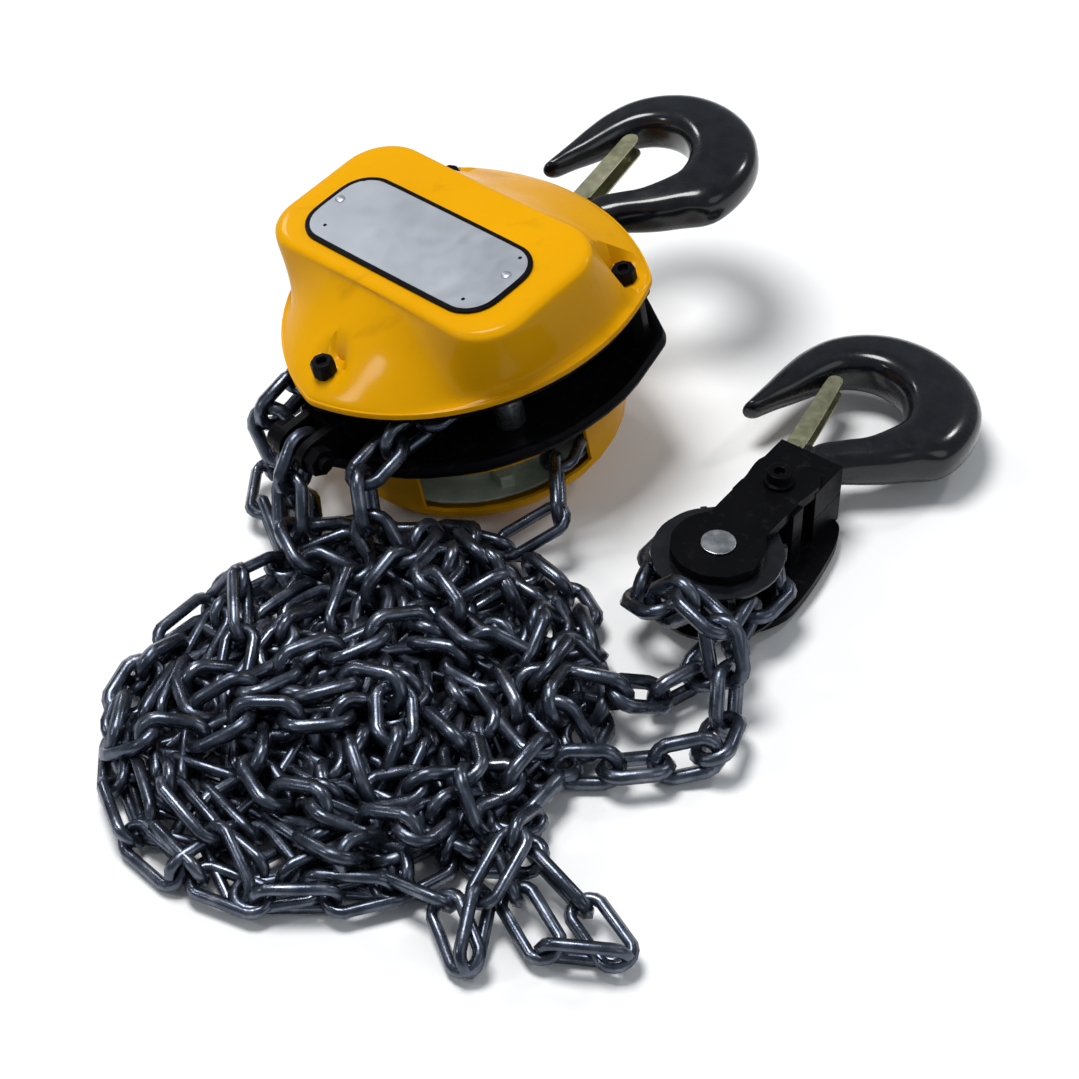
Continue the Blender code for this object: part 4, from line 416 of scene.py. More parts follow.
heap = {
    "centre": (-105.0, -161.0), "halfLength": 101.0, "halfWidth": 82.0, "turn": 50.0,
    "height": 56.0, "brow": 2.4, "flank": 0.75,
    "seed": 11, "steps": 700, "leash": 7.0,
}
roaming = {"arrived": 1.5, "reach": (0.02, 0.9), "lowest": 8, "homing": 8, "keep": 0.55, "steer": 0.45}
packing = {
    "sink": 0.15, "lateSink": 0.5, "late": 0.6, "sweeps": 2,
    "bend": 1.45, "bendRate": 0.35, "kin": 5, "pushRate": 0.30, "crowd": 0.5,
    "topRate": 0.4, "rim": 0.97, "rimRate": 0.5,
}
strayLoops = (
    ((-57.0, -256.0, 14.0), (-61.5, -279.0, 7.0), (-70.0, -256.0, 11.0)),
    (
        (-46.0, -252.0, 11.0), (-34.0, -274.0, 7.0), (-9.5, -277.0, 7.0), (-22.0, -256.0, 9.0),
        (-38.0, -238.0, 14.0),
    ),
)
loops = (
    {
        "name": "handLoop", "from": "handRight", "to": "handLeft", "link": handLink, "loose": 108,
        "turns": (60, 250), "levels": (0.1, 0.7), "by": strayLoops,
    },
    {
        "name": "loadToBlock", "from": "loadRight", "to": "blockRight", "link": loadLink, "loose": 52,
        "turns": (-160, 80), "levels": (0.3, 1.0),
    },
    {
        "name": "loadFromAnchor", "from": "anchored", "to": "blockLeft", "link": loadLink, "loose": 52,
        "turns": (-160, 80), "levels": (0.3, 1.0),
    },
    {
        "name": "loadSlack", "from": "loadLeft", "to": None, "link": loadLink, "loose": 58,
        "turns": (0, 360), "levels": (0.5, 1.0), "rest": (-105.0, -150.0, 9.0),
    },
)


def heapAxes():
    turn = math.radians(heap["turn"])
    return np.array(((math.cos(turn), -math.sin(turn)), (math.sin(turn), math.cos(turn))))


def moundHeight(spots):
    offset = (spots[:, :2] - np.array(heap["centre"])) @ heapAxes() / (heap["halfLength"], heap["halfWidth"])
    share = np.hypot(offset[:, 0], offset[:, 1])
    rise = np.clip(1 - np.clip(share, 0, 1) ** heap["brow"], 0, 1) ** heap["flank"]
    return share, heap["height"] * rise


def wander(random, loop, start, end, count):
    # Steps of one pitch from goal to goal in the heap, and at last to the end
    pitch = loop["link"]["pitch"]
    spots = [np.array(start)]
    heading = None
    goal = None
    for i in range(count):
        if goal is None or np.linalg.norm(goal - spots[-1]) < roaming["arrived"] * pitch:
            turn = math.radians(random.uniform(*loop["turns"]))
            reach = math.sqrt(random.uniform(*roaming["reach"]))
            way = np.array((heap["halfLength"] * math.cos(turn), heap["halfWidth"] * math.sin(turn)))
            goal = np.append(heapAxes() @ way * reach + heap["centre"], 0.0)
            goal[2] = roaming["lowest"] + random.uniform(*loop["levels"]) * moundHeight(goal[None])[1][0]
        if end is not None and count - i < roaming["homing"]:
            goal = np.array(end)
        wish = (goal - spots[-1]) / max(1e-6, np.linalg.norm(goal - spots[-1]))
        heading = wish if heading is None else roaming["keep"] * heading + roaming["steer"] * wish
        heading = heading / np.linalg.norm(heading)
        spots.append(spots[-1] + heading * pitch)
    return spots[1:]


def looseRun(random, loop, start, end):
    # The loose length, with the short stretches that lie out of the heap held where they are
    stops = [[np.array(p) for p in stop] for stop in loop.get("by", ())]
    share = loop["loose"] // (len(stops) + 1)
    run, pinned = [], []
    for stop in stops:
        run += wander(random, loop, start, stop[0], share) + stop
        pinned += [False] * share + [True] * len(stop)
        start = stop[-1]
    run += wander(random, loop, start, end, share)
    pinned += [False] * share
    return run, pinned


def layLoops():
    random = np.random.default_rng(heap["seed"])
    laid = {"spots": [], "held": [], "owner": [], "pitch": [], "ball": [], "floor": []}
    spans = []
    for k, loop in enumerate(loops):
        link = loop["link"]
        head = [np.array(p) for p in routes[loop["from"]]]
        tail = [np.array(p) for p in reversed(routes[loop["to"]])] if loop["to"] else []
        loose, pinned = looseRun(random, loop, head[-1], tail[0] if tail else loop["rest"])
        chain = head + loose + tail
        spans.append((len(laid["spots"]), len(laid["spots"]) + len(chain)))
        laid["spots"] += chain
        laid["held"] += [True] * (len(head) - 1) + [False] + pinned + [i > 0 for i in range(len(tail))]
        laid["owner"] += [k] * len(chain)
        for size in ("pitch", "ball", "floor"):
            laid[size] += [link[size]] * len(chain)
    return {name: np.array(values) for name, values in laid.items()}, spans


def looseness(held, joined):
    # Nought at the held joints, rising to one at the leash's number of links from them
    tied = np.where(held, 0, len(held))
    for i in joined:
        tied[i + 1] = min(tied[i + 1], tied[i] + 1)
    for i in joined[::-1]:
        tied[i] = min(tied[i], tied[i + 1] + 1)
    return np.clip((tied - 1) / heap["leash"], 0, 1)


def keepPitch(spots, joined, pitch, free):
    for parity in (0, 1):
        pick = joined[(joined % 2) == parity]
        gap = spots[pick + 1] - spots[pick]
        length = np.linalg.norm(gap, axis=1, keepdims=True)
        weight = free[pick] + free[pick + 1]
        move = gap / length * (length - pitch[pick][:, None]) / np.maximum(weight, 1e-9)
        spots[pick] += move * free[pick]
        spots[pick + 1] -= move * free[pick + 1]


def easeBends(spots, bent, pitch, free):
    for parity in range(3):
        pick = bent[(bent % 3) == parity]
        gap = spots[pick + 2] - spots[pick]
        length = np.linalg.norm(gap, axis=1, keepdims=True)
        short = np.maximum(0, packing["bend"] * pitch[pick][:, None] - length)
        move = gap / np.maximum(length, 1e-6) * short * packing["bendRate"]
        spots[pick] -= move * free[pick]
        spots[pick + 2] += move * free[pick + 2]


def pushApart(spots, beads, second, apart, near, free):
    # Balls at the joints and at the middles of the links push each other away
    bead = (spots[beads] + spots[second]) / 2
    gap = bead[:, None] - bead[None]
    length = np.sqrt((gap ** 2).sum(-1)) + 1e-9
    one, two = np.nonzero((length < apart) & ~near)
    if not len(one):
        return
    overlap = (apart[one, two] - length[one, two]) * packing["pushRate"]
    push = gap[one, two] / length[one, two][:, None] * overlap[:, None]
    shift = np.zeros_like(spots)
    tally = np.zeros((len(spots), 1))
    for index, sign in ((one, 1), (two, -1)):
        for end in (beads[index], second[index]):
            np.add.at(shift, end, sign * push)
            np.add.at(tally, end, 1)
    spots += free * shift / np.maximum(1, packing["crowd"] * tally)


def packHeap():
    laid, spans = layLoops()
    spots, held, owner, pitch = laid["spots"], laid["held"], laid["owner"], laid["pitch"]
    count = len(spots)
    free = (~held).astype(float)[:, None]
    joined = np.nonzero(owner[:-1] == owner[1:])[0]
    bent = np.nonzero(owner[:-2] == owner[2:])[0]
    loose = looseness(held, joined)
    beads = np.concatenate([np.arange(count), joined])
    second = np.concatenate([np.arange(count), joined + 1])
    order = np.concatenate([np.arange(count) * 2, joined * 2 + 1])
    radius = laid["ball"][beads]
    apart = radius[:, None] + radius[None]
    near = np.abs(order[:, None] - order[None]) <= packing["kin"]
    near &= owner[beads][:, None] == owner[beads][None]
    near[np.tril_indices(len(beads))] = True
    for step in range(heap["steps"]):
        late = step > packing["late"] * heap["steps"]
        spots[:, 2] -= packing["lateSink" if late else "sink"] * free[:, 0]
        for sweep in range(packing["sweeps"]):
            keepPitch(spots, joined, pitch, free)
        easeBends(spots, bent, pitch, free)
        pushApart(spots, beads, second, apart, near, free)
        share, top = moundHeight(spots)
        over = np.maximum(0, spots[:, 2] - np.maximum(top, laid["floor"]))
        spots[:, 2] -= packing["topRate"] * over * loose
        wide = (np.maximum(0, share - packing["rim"]) * loose)[:, None]
        spots[:, :2] -= packing["rimRate"] * wide * (spots[:, :2] - np.array(heap["centre"]))
        spots[:, 2] = np.where(held, spots[:, 2], np.maximum(spots[:, 2], laid["floor"]))
    return [spots[first:last] for first, last in spans]


def linkTemplate(link, around=16, sides=5):
    # One welded link about the origin, its length along X and its width along Y
    half = link["pitch"] / 2 - link["inner"] / 2
    radius = (link["inner"] + link["wire"]) / 2
    points, faces = [], []
    for i in range(around):
        turn = 2 * math.pi * (i + 0.5) / around
        across = math.cos(turn)
        centre = Vector((math.copysign(half, across) + radius * across, radius * math.sin(turn), 0))
        outward = Vector((across, math.sin(turn), 0))
        for j in range(sides):
            swing = 2 * math.pi * j / sides
            section = outward * math.cos(swing) + Vector((0, 0, 1)) * math.sin(swing)
            points.append(centre + section * link["wire"] / 2)
    for i in range(around):
        for j in range(sides):
            a, b = i * sides + j, i * sides + (j + 1) % sides
            c, d = ((i + 1) % around) * sides + (j + 1) % sides, ((i + 1) % around) * sides + j
            faces.append((a, d, c, b))
    return np.array(points), np.array(faces)


def linkFrames(spots, side, twist, steep=0.35):
    # A side vector for each link, kept from turning where the chain bends
    ways = np.diff(spots, axis=0)
    ways /= np.linalg.norm(ways, axis=1, keepdims=True)
    frames = []
    last = np.array(side, float)
    for i, way in enumerate(ways):
        last = last - way * last.dot(way)
        last /= np.linalg.norm(last)
        if twist is not None:
            upright = np.array((0, 0, 1.0)) - way * way[2]
            if np.linalg.norm(upright) > steep:
                upright /= np.linalg.norm(upright)
                lean = upright + np.cross(way, upright)
                lean /= np.linalg.norm(lean)
                choices = [lean, -lean, np.cross(way, lean), -np.cross(way, lean)]
                nearest = max(choices, key=lambda c: c.dot(last))
                last = last + twist[i] * nearest
                last /= np.linalg.norm(last)
        frames.append((way, last.copy()))
    return frames


def turnedIn(frames, odd, side, settled, lead=14):
    # Turns the last links bit by bit, so that the final one has its width along the given side
    count = len(frames)
    way, got = frames[-1]
    goal = np.array(side, float) - way * way.dot(side)
    goal /= np.linalg.norm(goal)
    if (count - 1 + odd) % 2:
        goal = np.cross(way, goal)
    angle = math.atan2(np.cross(got, goal).dot(way), got.dot(goal))
    angle = (angle + math.pi / 2) % math.pi - math.pi / 2
    turned = []
    for i, (way, across) in enumerate(frames):
        share = min(max((i - count + settled + lead) / lead, 0), 1)
        turn = angle * share * share * (3 - 2 * share)
        turned.append((way, across * math.cos(turn) + np.cross(way, across) * math.sin(turn)))
    return turned


def chainMesh(name, spots, link, side, odd=0, twist=None, ending=None, floorGap=0.3):
    points, faces = linkTemplate(link)
    allPoints, allFaces = [], []
    frames = linkFrames(spots, side, twist)
    if ending:
        frames = turnedIn(frames, odd, *ending)
    for i, (way, across) in enumerate(frames):
        up = np.cross(way, across)
        if (i + odd) % 2:
            across, up = up, -across
        basis = np.stack([way, across, up])
        middle = (spots[i] + spots[i + 1]) / 2
        allFaces.append(faces + len(points) * i)
        allPoints.append(points @ basis + middle)
    allPoints = np.concatenate(allPoints)
    low = np.maximum(0, floorGap - allPoints[:, 2].reshape(-1, len(points)).min(axis=1))
    allPoints[:, 2] += np.repeat(low, len(points))
    mesh = bpy.data.meshes.new(name)
    mesh.from_pydata((allPoints / 1000).tolist(), [], np.concatenate(allFaces).tolist())
    mesh.polygons.foreach_set("use_smooth", [True] * len(mesh.polygons))
    mesh.materials.append(materials["oiled_chain_steel"])
    piece = bpy.data.objects.new(name, mesh)
    scene.collection.objects.link(piece)
    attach(piece, "hoist_body")
    return piece


shaftWay = tuple(jointOf["hand_wheel_spin"]["axis"])
anchorWay = (0.679, -0.730, 0.075)  # along the anchor bolt
upWay = (0, 0, 1)
chainNodes = {
    "handLoop": ("hand_chain_right", "hand_chain_left", "heap_hand_chain"),
    "loadToBlock": ("load_chain_right", "load_chain_block_right", "heap_load_chain"),
    "loadFromAnchor": ("load_chain_anchored", "load_chain_block_left", "chain_heap"),
    "loadSlack": ("load_chain_left",),
}
firstSides = {
    "handLoop": (shaftWay, 1),
    "loadToBlock": (shaftWay, 0),
    "loadFromAnchor": (anchorWay, 1),
    "loadSlack": (shaftWay, 1),
}
lastSides = {"handLoop": shaftWay, "loadToBlock": upWay, "loadFromAnchor": upWay}
looseTwist = 0.10
endRing = {"pitch": 15.0, "wire": 6.0, "inner": 14.0, "beyond": 4.0, "side": (0.3, 0.2, 1.0)}


def addEndRing(spots):
    # A round stop ring on the last link, in place of a cut end
    way = spots[-1] - spots[-2]
    tip = spots[-1] + way / np.linalg.norm(way) * endRing["beyond"]
    ends = np.array((tip, tip + way / np.linalg.norm(way) * endRing["pitch"]))
    return chainMesh("chainEndRing", ends, endRing, endRing["side"])


def addLoops():
    packed = packHeap()
    for loop, spots in zip(loops, packed):
        name, link = loop["name"], loop["link"]
        lead = len(routes[loop["from"]])
        twist = np.full(len(spots), looseTwist)
        twist[:lead - 1] = 0.0
        side, odd = firstSides[name]
        ending = None
        if loop["to"]:
            settled = len(routes[loop["to"]]) - 1
            twist[-settled - 1:] = 0.0
            ending = (lastSides[name], settled)
        piece = chainMesh(name, spots, link, side, odd, twist, ending)
        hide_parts(*chainNodes[name])
        () if loop["to"] else [addEndRing(spots)]


addLoops()

wraps = (
    {"wheel": "handWrap", "node": "hand_chain_on_wheel", "side": shaftWay, "odd": 0},
    {"wheel": "sheaveWrap", "node": "load_chain_on_sheave", "side": shaftWay, "odd": 1},
    {"wheel": "idlerWrap", "node": "load_chain_on_idler", "side": upWay, "odd": 1},
)
for settings in wraps:
    wheel = settings["wheel"]
    joints = np.array(routes[wheel])
    piece = chainMesh(wheel + "Links", joints, wheels[wheel]["link"], settings["side"], settings["odd"])
    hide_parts(settings["node"])
print("chains laid")


# Hooks: smooth forgings in millimetres, with a bead round the throat. They follow the CAD's stations, apart
# from the root, which is drawn back by about a millimetre so that the latch clears it when it opens

hookForm = {
    "throat": 21.0, "depth": 29.0, "thickness": 11.0, "offset": 6.0, "neck": 39.0, "shank": 8.0,
    "collar": 11.5, "rootBack": 1.0,
    "lugRadius": 4.8, "lugThickness": 6.0, "lugReach": 13.5, "lugBack": 35.5, "lugHole": 2.1, "lugAround": 24,
    "around": 28, "between": 5,
    "square": 0.9, "bead": 0.16, "groove": 0.10, "grooveAt": 0.1, "grooveWidth": 0.16,
}
hooks = (
    {"node": "top_hook", "share": 0.94, "latch": "top_latch_open", "swivel": "top_hook_swivel"},
    {"node": "bottom_hook", "share": 1.0, "latch": "bottom_latch_open", "swivel": "bottom_hook_swivel"},
)


def hookBow():
    # Angle, then inner radius, depth and thickness as shares, then how far the section is a bead
    return (
        (-8, 0.99, 0.94, 1.0, 1.0), (12, 0.98, 1.02, 1.0, 1.0), (32, 0.97, 1.07, 1.0, 1.0),
        (54, 1.0, 1.04, 1.0, 1.0), (76, 1.04, 0.97, 0.99, 1.0), (98, 1.09, 0.89, 0.96, 1.0),
        (118, 1.10, 0.80, 0.92, 0.9), (137, 1.09, 0.71, 0.87, 0.8), (156, 1.06, 0.62, 0.80, 0.6),
        (175, 1.10, 0.53, 0.71, 0.4), (191, 1.24, 0.46, 0.61, 0.2), (203, 1.49, 0.38, 0.52, 0.0),
        (211, 1.75, 0.30, 0.45, 0.0),
    )


def hookMatrix(settings):
    # Axes from the joints: y along the shank, z across the hook, the origin in the middle of the throat
    along = Vector(jointOf[settings["swivel"]]["axis"]).normalized()
    across = Vector(jointOf[settings["latch"]]["axis"]).normalized()
    side = along.cross(across)
    pivot = hookPivot(settings["share"]) / 1000
    origin = Vector(jointOf[settings["latch"]]["pos_m"]) - side * pivot.x - along * pivot.y
    matrix = Matrix((side, along, across)).transposed().to_4x4()
    matrix.translation = origin
    return matrix


def hookPivot(share):
    return Vector((hookForm["offset"] - hookForm["lugReach"], -hookForm["lugBack"])) * share


def hookStations(share):
    # Inner side, outer side, half thickness and bead of each section from the neck to the tip
    form = hookForm
    throat, thick, neck = form["throat"] * share, form["thickness"] * share, form["neck"] * share
    back = (form["throat"] + form["depth"]) * share
    axis, shank = form["offset"] * share, form["shank"]
    root = axis - shank + form["rootBack"]
    stations = [
        (Vector((axis - shank, -0.93 * neck)), Vector((axis + shank, -0.97 * neck)), shank, 0.0),
        (Vector((root, -0.80 * neck)), Vector((0.38 * back, -0.85 * neck)), 0.80 * thick, 0.4),
        (Vector((0.32 * throat, -1.18 * throat)), Vector((0.60 * back, -1.15 * throat)), 0.88 * thick, 0.8),
        (Vector((0.68 * throat, -0.86 * throat)), Vector((0.76 * back, -0.76 * throat)), 0.94 * thick, 1.0),
    ]
    for angle, inner, depth, thickness, bead in hookBow():
        way = Vector((math.cos(math.radians(angle)), math.sin(math.radians(angle))))
        reach = throat * inner
        outer = reach + form["depth"] * share * depth
        stations.append((way * reach, way * outer, thick * thickness, bead))
    inner, outer, last, bead = stations[-1]
    ahead = (inner + outer - stations[-2][0] - stations[-2][1]).normalized() * (outer - inner).length
    for step, size in ((0.22, 0.86), (0.38, 0.58), (0.45, 0.10)):
        middle = (inner + outer) / 2 + ahead * step
        half = (outer - inner) * size / 2
        stations.append((middle - half, middle + half, last * size, 0.0))
    return stations


def hookRing(inner, outer, thickness, bead):
    ring = []
    power = 2 / (2 + hookForm["square"] * bead)
    for k in range(hookForm["around"]):
        turn = 2 * math.pi * k / hookForm["around"]
        u = math.copysign(abs(math.cos(turn)) ** power, math.cos(turn))
        w = math.copysign(abs(math.sin(turn)) ** power, math.sin(turn))
        groove = math.exp(-((u + hookForm["grooveAt"]) / hookForm["grooveWidth"]) ** 2)
        dip = 1 - bead * (hookForm["bead"] * u + hookForm["groove"] * groove)
        ring.append(Vector((*((inner + outer) / 2 + (outer - inner) / 2 * u), thickness * w * dip)))
    return ring


def hookRings(settings, matrix):
    share, axis = settings["share"], hookForm["offset"] * settings["share"]
    shank, collar = hookForm["shank"], hookForm["collar"]
    local = [matrix.inverted() @ v.co * 1000 for v in nodes[settings["node"]].data.vertices]
    below = [v for v in local if v.y < -0.95 * hookForm["neck"] * share]
    low = [v.y for v in below if abs(v.z) > 0.9 * collar]
    foot, seat, top = min(v.y for v in local), min(low), max(low)
    straight = ((shank, foot), (shank, seat), (collar, seat), (collar, top), (shank, top))
    rings = [hookRing(Vector((axis - r, y)), Vector((axis + r, y)), r, 0.0) for r, y in straight]
    columns = list(zip(*hookStations(share)))
    for i in range(len(columns[0]) - 1):
        for step in range(hookForm["between"]):
            rings.append(hookRing(*(between(values, i, step / hookForm["between"]) for values in columns)))
    rings.append(hookRing(*(values[-1] for values in columns)))
    return rings


def bridged(build, rings, closed):
    loops = [[build.verts.new(p) for p in ring] for ring in rings]
    count = len(loops[0])
    for one, two in zip(loops, loops[1:] + (loops[:1] if closed else [])):
        for k in range(count):
            build.faces.new((one[k], one[(k + 1) % count], two[(k + 1) % count], two[k]))
    if not closed:
        build.faces.new(loops[0][::-1])
        build.faces.new(loops[-1])


def lugRings(share):
    # The eye that carries the latch, as four loops round its hole
    pivot = hookPivot(share)
    root = Vector((hookForm["offset"] * share, pivot.y + hookForm["lugRadius"] / 4))
    turns = [2 * math.pi * k / hookForm["lugAround"] for k in range(hookForm["lugAround"])]
    ways = [Vector((math.cos(a), math.sin(a))) for a in turns]
    shell = [(root if w.x > 1e-6 else pivot) + w * hookForm["lugRadius"] for w in ways]
    bore = [pivot + w * hookForm["lugHole"] for w in ways]
    half = hookForm["lugThickness"] / 2
    rims = ((shell, -half), (shell, half), (bore, half), (bore, -half))
    return [[Vector((*p, z)) for p in rim] for rim, z in rims]


sharpAngle = math.radians(38)  # edges that turn by more than this stay sharp


def addPiece(name, build, matrix, slot, body):
    bmesh.ops.recalc_face_normals(build, faces=build.faces)
    mesh = bpy.data.meshes.new(name)
    for face in build.faces:
        face.smooth = True
    build.to_mesh(mesh)
    build.free()
    mesh.transform(matrix)
    mesh.set_sharp_from_angle(angle=sharpAngle)
    mesh.materials.append(materials[slot])
    piece = bpy.data.objects.new(name, mesh)
    scene.collection.objects.link(piece)
    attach(piece, body)
    return piece


def addHook(settings):
    matrix = hookMatrix(settings)
    build = bmesh.new()
    bridged(build, hookRings(settings, matrix), False)
    bridged(build, lugRings(settings["share"]), True)
    node = settings["node"]
    scale = Matrix.Scale(0.001, 4)
    piece = addPiece(node + "Forging", build, matrix @ scale, slotOf[node], bodyOf[node])
    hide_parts(node)


for settings in hooks:
    addHook(settings)
print("hooks forged")


# Gear cover: the CAD's pressing with its curves drawn fine, in millimetres

cover = {
    "stays": ((0.0, -66.0), (51.5, 46.0), (-51.5, 46.0)),
    "seats": (9.0, 2.5, 2.5),
    "corner": 10.5,
    "sides": (88.0, 104.0, 88.0),
    "height": 35.0, "wall": 2.5, "inset": 3.8, "fillet": 3.0, "edge": 0.5,
    "top": (-65.0, 65.0, -40.0, 32.0), "topCorner": 20.0, "topEdge": 6.0, "topTurn": 3.0,
    "shoulder": (0.72, 0.18), "brow": 0.75, "waist": 0.42, "field": 0.8,
    "scoop": 8.5, "scoopRise": 6.0,
    "middle": (0.0, -6.0), "rays": 180, "between": 5, "fine": 40,
}


def bodyMatrix():
    # Axes of the hoist from its joints: z along the shafts, y towards the top hook, from under the gear cover
    shaft = Vector(jointOf["hand_wheel_spin"]["axis"]).normalized()
    middle = Vector(jointOf["hand_wheel_spin"]["pos_m"])
    upward = Vector(jointOf["yoke_swing"]["pos_m"]) - middle
    upward = (upward - shaft * upward.dot(shaft)).normalized()
    level = min(v.co.dot(shaft) for v in nodes["gear_cover"].data.vertices)
    matrix = Matrix((upward.cross(shaft), upward, shaft)).transposed().to_4x4()
    matrix.translation = middle + shaft * (level - middle.dot(shaft))
    return matrix


def arcPoints(centre, radius, start, stop, steps=24):
    turns = np.linspace(start, stop, steps)
    return np.stack([centre[0] + radius * np.cos(turns), centre[1] + radius * np.sin(turns)], axis=1)


def sideCentre(first, second, radius):
    chord = second - first
    half = np.linalg.norm(chord) / 2
    inward = np.array((-chord[1], chord[0])) / (2 * half)
    return (first + second) / 2 + inward * math.sqrt((radius - cover["corner"]) ** 2 - half ** 2)


def frameOutline(offset):
    # An arc round each stay bolt and three long arcs that touch them
    stays = np.array(cover["stays"])
    runs = []
    for i, corner in enumerate(stays):
        centre = sideCentre(corner, stays[(i + 1) % 3], cover["sides"][i])
        before = sideCentre(stays[i - 1], corner, cover["sides"][i - 1])
        start = math.atan2(*(corner - before)[::-1])
        turn = (math.atan2(*(corner - centre)[::-1]) - start) % (2 * math.pi)
        runs.append(arcPoints(corner, cover["corner"] + offset, start, start + turn))
        start += turn
        turn = (math.atan2(*(stays[(i + 1) % 3] - centre)[::-1]) - start) % (2 * math.pi)
        runs.append(arcPoints(centre, cover["sides"][i] + offset, start, start + turn))
    return np.concatenate(runs)


def topOutline():
    left, right, low, high = cover["top"]
    radius = cover["topCorner"]
    corners = (
        (right - radius, low + radius), (right - radius, high - radius),
        (left + radius, high - radius), (left + radius, low + radius),
    )
    runs = [arcPoints(c, radius, (k - 1) * math.pi / 2, k * math.pi / 2) for k, c in enumerate(corners)]
    turn = math.radians(cover["topTurn"])
    swing = np.array(((math.cos(turn), math.sin(turn)), (-math.sin(turn), math.cos(turn))))
    return np.concatenate(runs) @ swing


def reaches(outline):
    # How far the outline lies from the middle along each ray
    ends = np.roll(outline, -1, axis=0)
    shares = np.linspace(0, 1, cover["fine"], endpoint=False)
    fine = np.concatenate([outline + (ends - outline) * share for share in shares])
    fine = fine - np.array(cover["middle"])
    angles = np.linspace(0, 2 * math.pi, cover["rays"], endpoint=False)
    bearings, lengths = np.arctan2(fine[:, 1], fine[:, 0]), np.hypot(fine[:, 0], fine[:, 1])
    return np.interp(angles, bearings, lengths, period=2 * math.pi)


def domeRings(shrink):
    # Reach and height from the flat top over its edge and down to the flange
    top, wall, fillet, edge = cover["height"] - shrink, cover["wall"], cover["fillet"], cover["topEdge"]
    crown = reaches(topOutline()) - shrink
    foot = reaches(frameOutline(-cover["inset"] - shrink))
    rim = reaches(frameOutline(-cover["inset"] - shrink + fillet))
    inset = crown - edge
    out, down = cover["shoulder"]
    shoulder, waist = inset + out * (crown - inset), crown + cover["waist"] * (foot - crown)
    columns = (
        [inset * cover["field"], inset, shoulder, crown, waist, foot, rim],
        [top, top, top - down * edge, top - cover["brow"] * edge, (top + wall) / 2,
         wall - shrink + fillet, wall - shrink],
    )
    rings = []
    for i in range(len(columns[0]) - 1):
        for step in range(cover["between"]):
            level = (between(values, i, step / cover["between"]) for values in columns)
            rings.append(coverRing(*level, shrink))
    rings.append(coverRing(columns[0][-1], columns[1][-1], shrink))
    return rings


def coverRing(reach, height, shrink=0.0):
    angles = np.linspace(0, 2 * math.pi, cover["rays"], endpoint=False)
    spots = np.stack([np.cos(angles), np.sin(angles)], axis=1) * np.reshape(reach, (-1, 1)) + cover["middle"]
    heights = np.full(len(spots), float(height))
    for stay, seat in zip(cover["stays"], cover["seats"]):
        rise = np.clip((np.hypot(*(spots - stay).T) - cover["scoop"] - shrink) / cover["scoopRise"], 0, 1)
        cap = seat - shrink + (cover["height"] - seat) * rise ** 2 * (3 - 2 * rise)
        heights = np.minimum(heights, np.maximum(cap, 0.0))
    return [Vector((x, y, z)) for (x, y), z in zip(spots.tolist(), heights.tolist())]


def addGearCover():
    outer = reaches(frameOutline(0.0))
    edge, wall = cover["edge"], cover["wall"]
    ease = edge * 0.3
    flange = ((outer - edge, wall), (outer - ease, wall - ease), (outer, wall - edge), (outer, 0.0))
    rings = domeRings(0.0) + [coverRing(*level) for level in flange] + domeRings(wall)[::-1]
    build = bmesh.new()
    bridged(build, rings, False)
    matrix = bodyMatrix() @ Matrix.Scale(0.001, 4)
    piece = addPiece("gearCoverPressing", build, matrix, slotOf["gear_cover"], bodyOf["gear_cover"])
    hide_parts("gear_cover")


addGearCover()
print("gear cover pressed")


# Rigid pieces: the CAD shapes with worked edges and smooth faces

edges = {
    "hand_wheel_cover": {"bevel": 0.0005},
    "gear_side_plate": {"bevel": 0.0004, "valence": 99},
    "hand_side_plate": {"bevel": 0.0004, "valence": 99},
    "name_plate": {"bevel": 0.0002, "border": 0.0018, "marks": True},
}
plain = {"bevel": 0.00035}
finishing = {"weld": 2e-5, "flat": 1.0, "facet": 3, "edge": 40, "round": 30, "valence": 3, "segments": 2}
plateMarks = {
    "rivets": ((-45.3, -11.5), (43.8, -3.4)), "rivetRadius": 2.1, "rivetHeight": 0.7,
    "dome": ((1.0, -0.2), (0.96, 0.35), (0.75, 0.75), (0.4, 0.96), (0.12, 1.0)),
    # the holes are not cut: each is a flat black disc, painted shade where the hole would be dark
    "holeShadeSpots": ((-46.2, 2.1), (-38.0, -25.7), (41.0, 6.6), (40.3, -22.6)), "holeShadeRadius": 0.8,
    "holeShadeLevels": (-0.1, 0.05), "level": 36.3, "around": 14,
}


def edgesBetween(build, low, high):
    shared = [e for e in build.edges if len(e.link_faces) == 2]
    return [e for e in shared if low < math.degrees(e.calc_face_angle(0)) <= high]


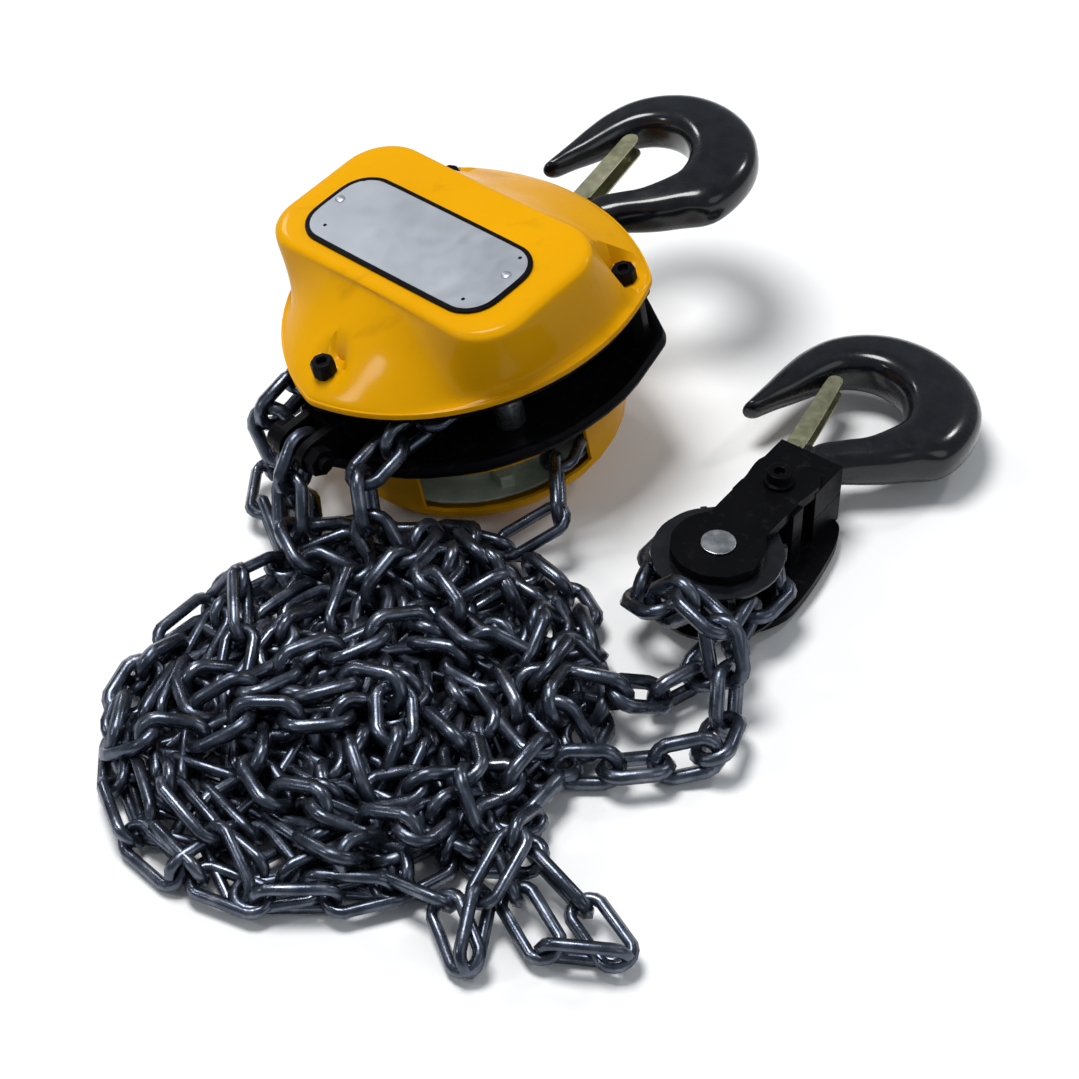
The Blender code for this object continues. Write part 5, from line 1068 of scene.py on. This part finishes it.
def addMarks(build):
    # Two domed rivets, and four small black discs on the bare name plate: painted shade standing in for the dark
    # inside of its holes
    matrix = bodyMatrix() @ Matrix.Scale(0.001, 4)
    size, rise, level = plateMarks["rivetRadius"], plateMarks["rivetHeight"], plateMarks["level"]
    rivet = [(size * r, level + rise * h) for r, h in plateMarks["dome"]]
    hole = [(plateMarks["holeShadeRadius"], level + h) for h in plateMarks["holeShadeLevels"]]
    shapes = [(spot, rivet, 0) for spot in plateMarks["rivets"]]
    # the holes take the second, black finish: painted shade
    shapes += [(spot, hole, 1) for spot in plateMarks["holeShadeSpots"]]
    turns = [2 * math.pi * k / plateMarks["around"] for k in range(plateMarks["around"])]
    ways = [Vector((math.cos(t), math.sin(t), 0)) for t in turns]
    for (x, y), profile, index in shapes:
        known = set(build.faces)
        rings = [[matrix @ (Vector((x, y, z)) + w * r) for w in ways] for r, z in profile]
        bridged(build, rings, False)
        for face in set(build.faces) - known:
            face.material_index = index


def refined(node):
    settings = edges.get(node, plain)
    mesh = nodes[node].data.copy()
    mesh.name = node + "Finish"
    build = bmesh.new()
    build.from_mesh(mesh)
    bmesh.ops.remove_doubles(build, verts=build.verts, dist=finishing["weld"])
    flat = math.radians(finishing["flat"])
    bmesh.ops.dissolve_limit(build, angle_limit=flat, verts=build.verts, edges=build.edges)
    most = settings.get("valence", finishing["valence"])
    facets = edgesBetween(build, finishing["facet"], finishing["edge"])
    facets = [e for e in facets if all(len(v.link_edges) <= most for v in e.verts)]
    bmesh.ops.bevel(
        build, geom=facets, offset=finishing["round"], offset_type="PERCENT", segments=finishing["segments"],
        profile=0.5, affect="EDGES", clamp_overlap=True, material=-1,
    )
    corners = edgesBetween(build, finishing["edge"], 180)
    bmesh.ops.bevel(
        build, geom=corners, offset=settings["bevel"], segments=finishing["segments"],
        profile=0.5, affect="EDGES", clamp_overlap=True, material=-1,
    )
    if "border" in settings:
        field = max(build.faces, key=lambda f: f.calc_area() * (f.normal.z > 0))
        bmesh.ops.inset_region(build, faces=[field], thickness=settings["border"])
        for face in build.faces:
            face.material_index = int(face is not field)
    if "marks" in settings:
        addMarks(build)
    for face in build.faces:
        face.smooth = True
    mesh.materials.clear()
    build.to_mesh(mesh)
    build.free()
    mesh.set_sharp_from_angle(angle=sharpAngle)
    mesh.materials.append(materials[slotOf[node]])
    # the second finish is black: the plate's printed border, and the painted shade of its holes
    if "border" in settings:
        mesh.materials.append(materials["black_paint"])
    piece = bpy.data.objects.new(node + "Finish", mesh)
    piece.modifiers.new("evenNormals", "WEIGHTED_NORMAL").keep_sharp = True
    scene.collection.objects.link(piece)
    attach(piece, bodyOf[node])
    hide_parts(node)


remade = {"gear_cover"}
remade.update(settings["node"] for settings in wraps + hooks)
for names in chainNodes.values():
    remade.update(names)
for node in sorted(nodes):
    if node not in remade:
        refined(node)
print("rigid pieces finished")
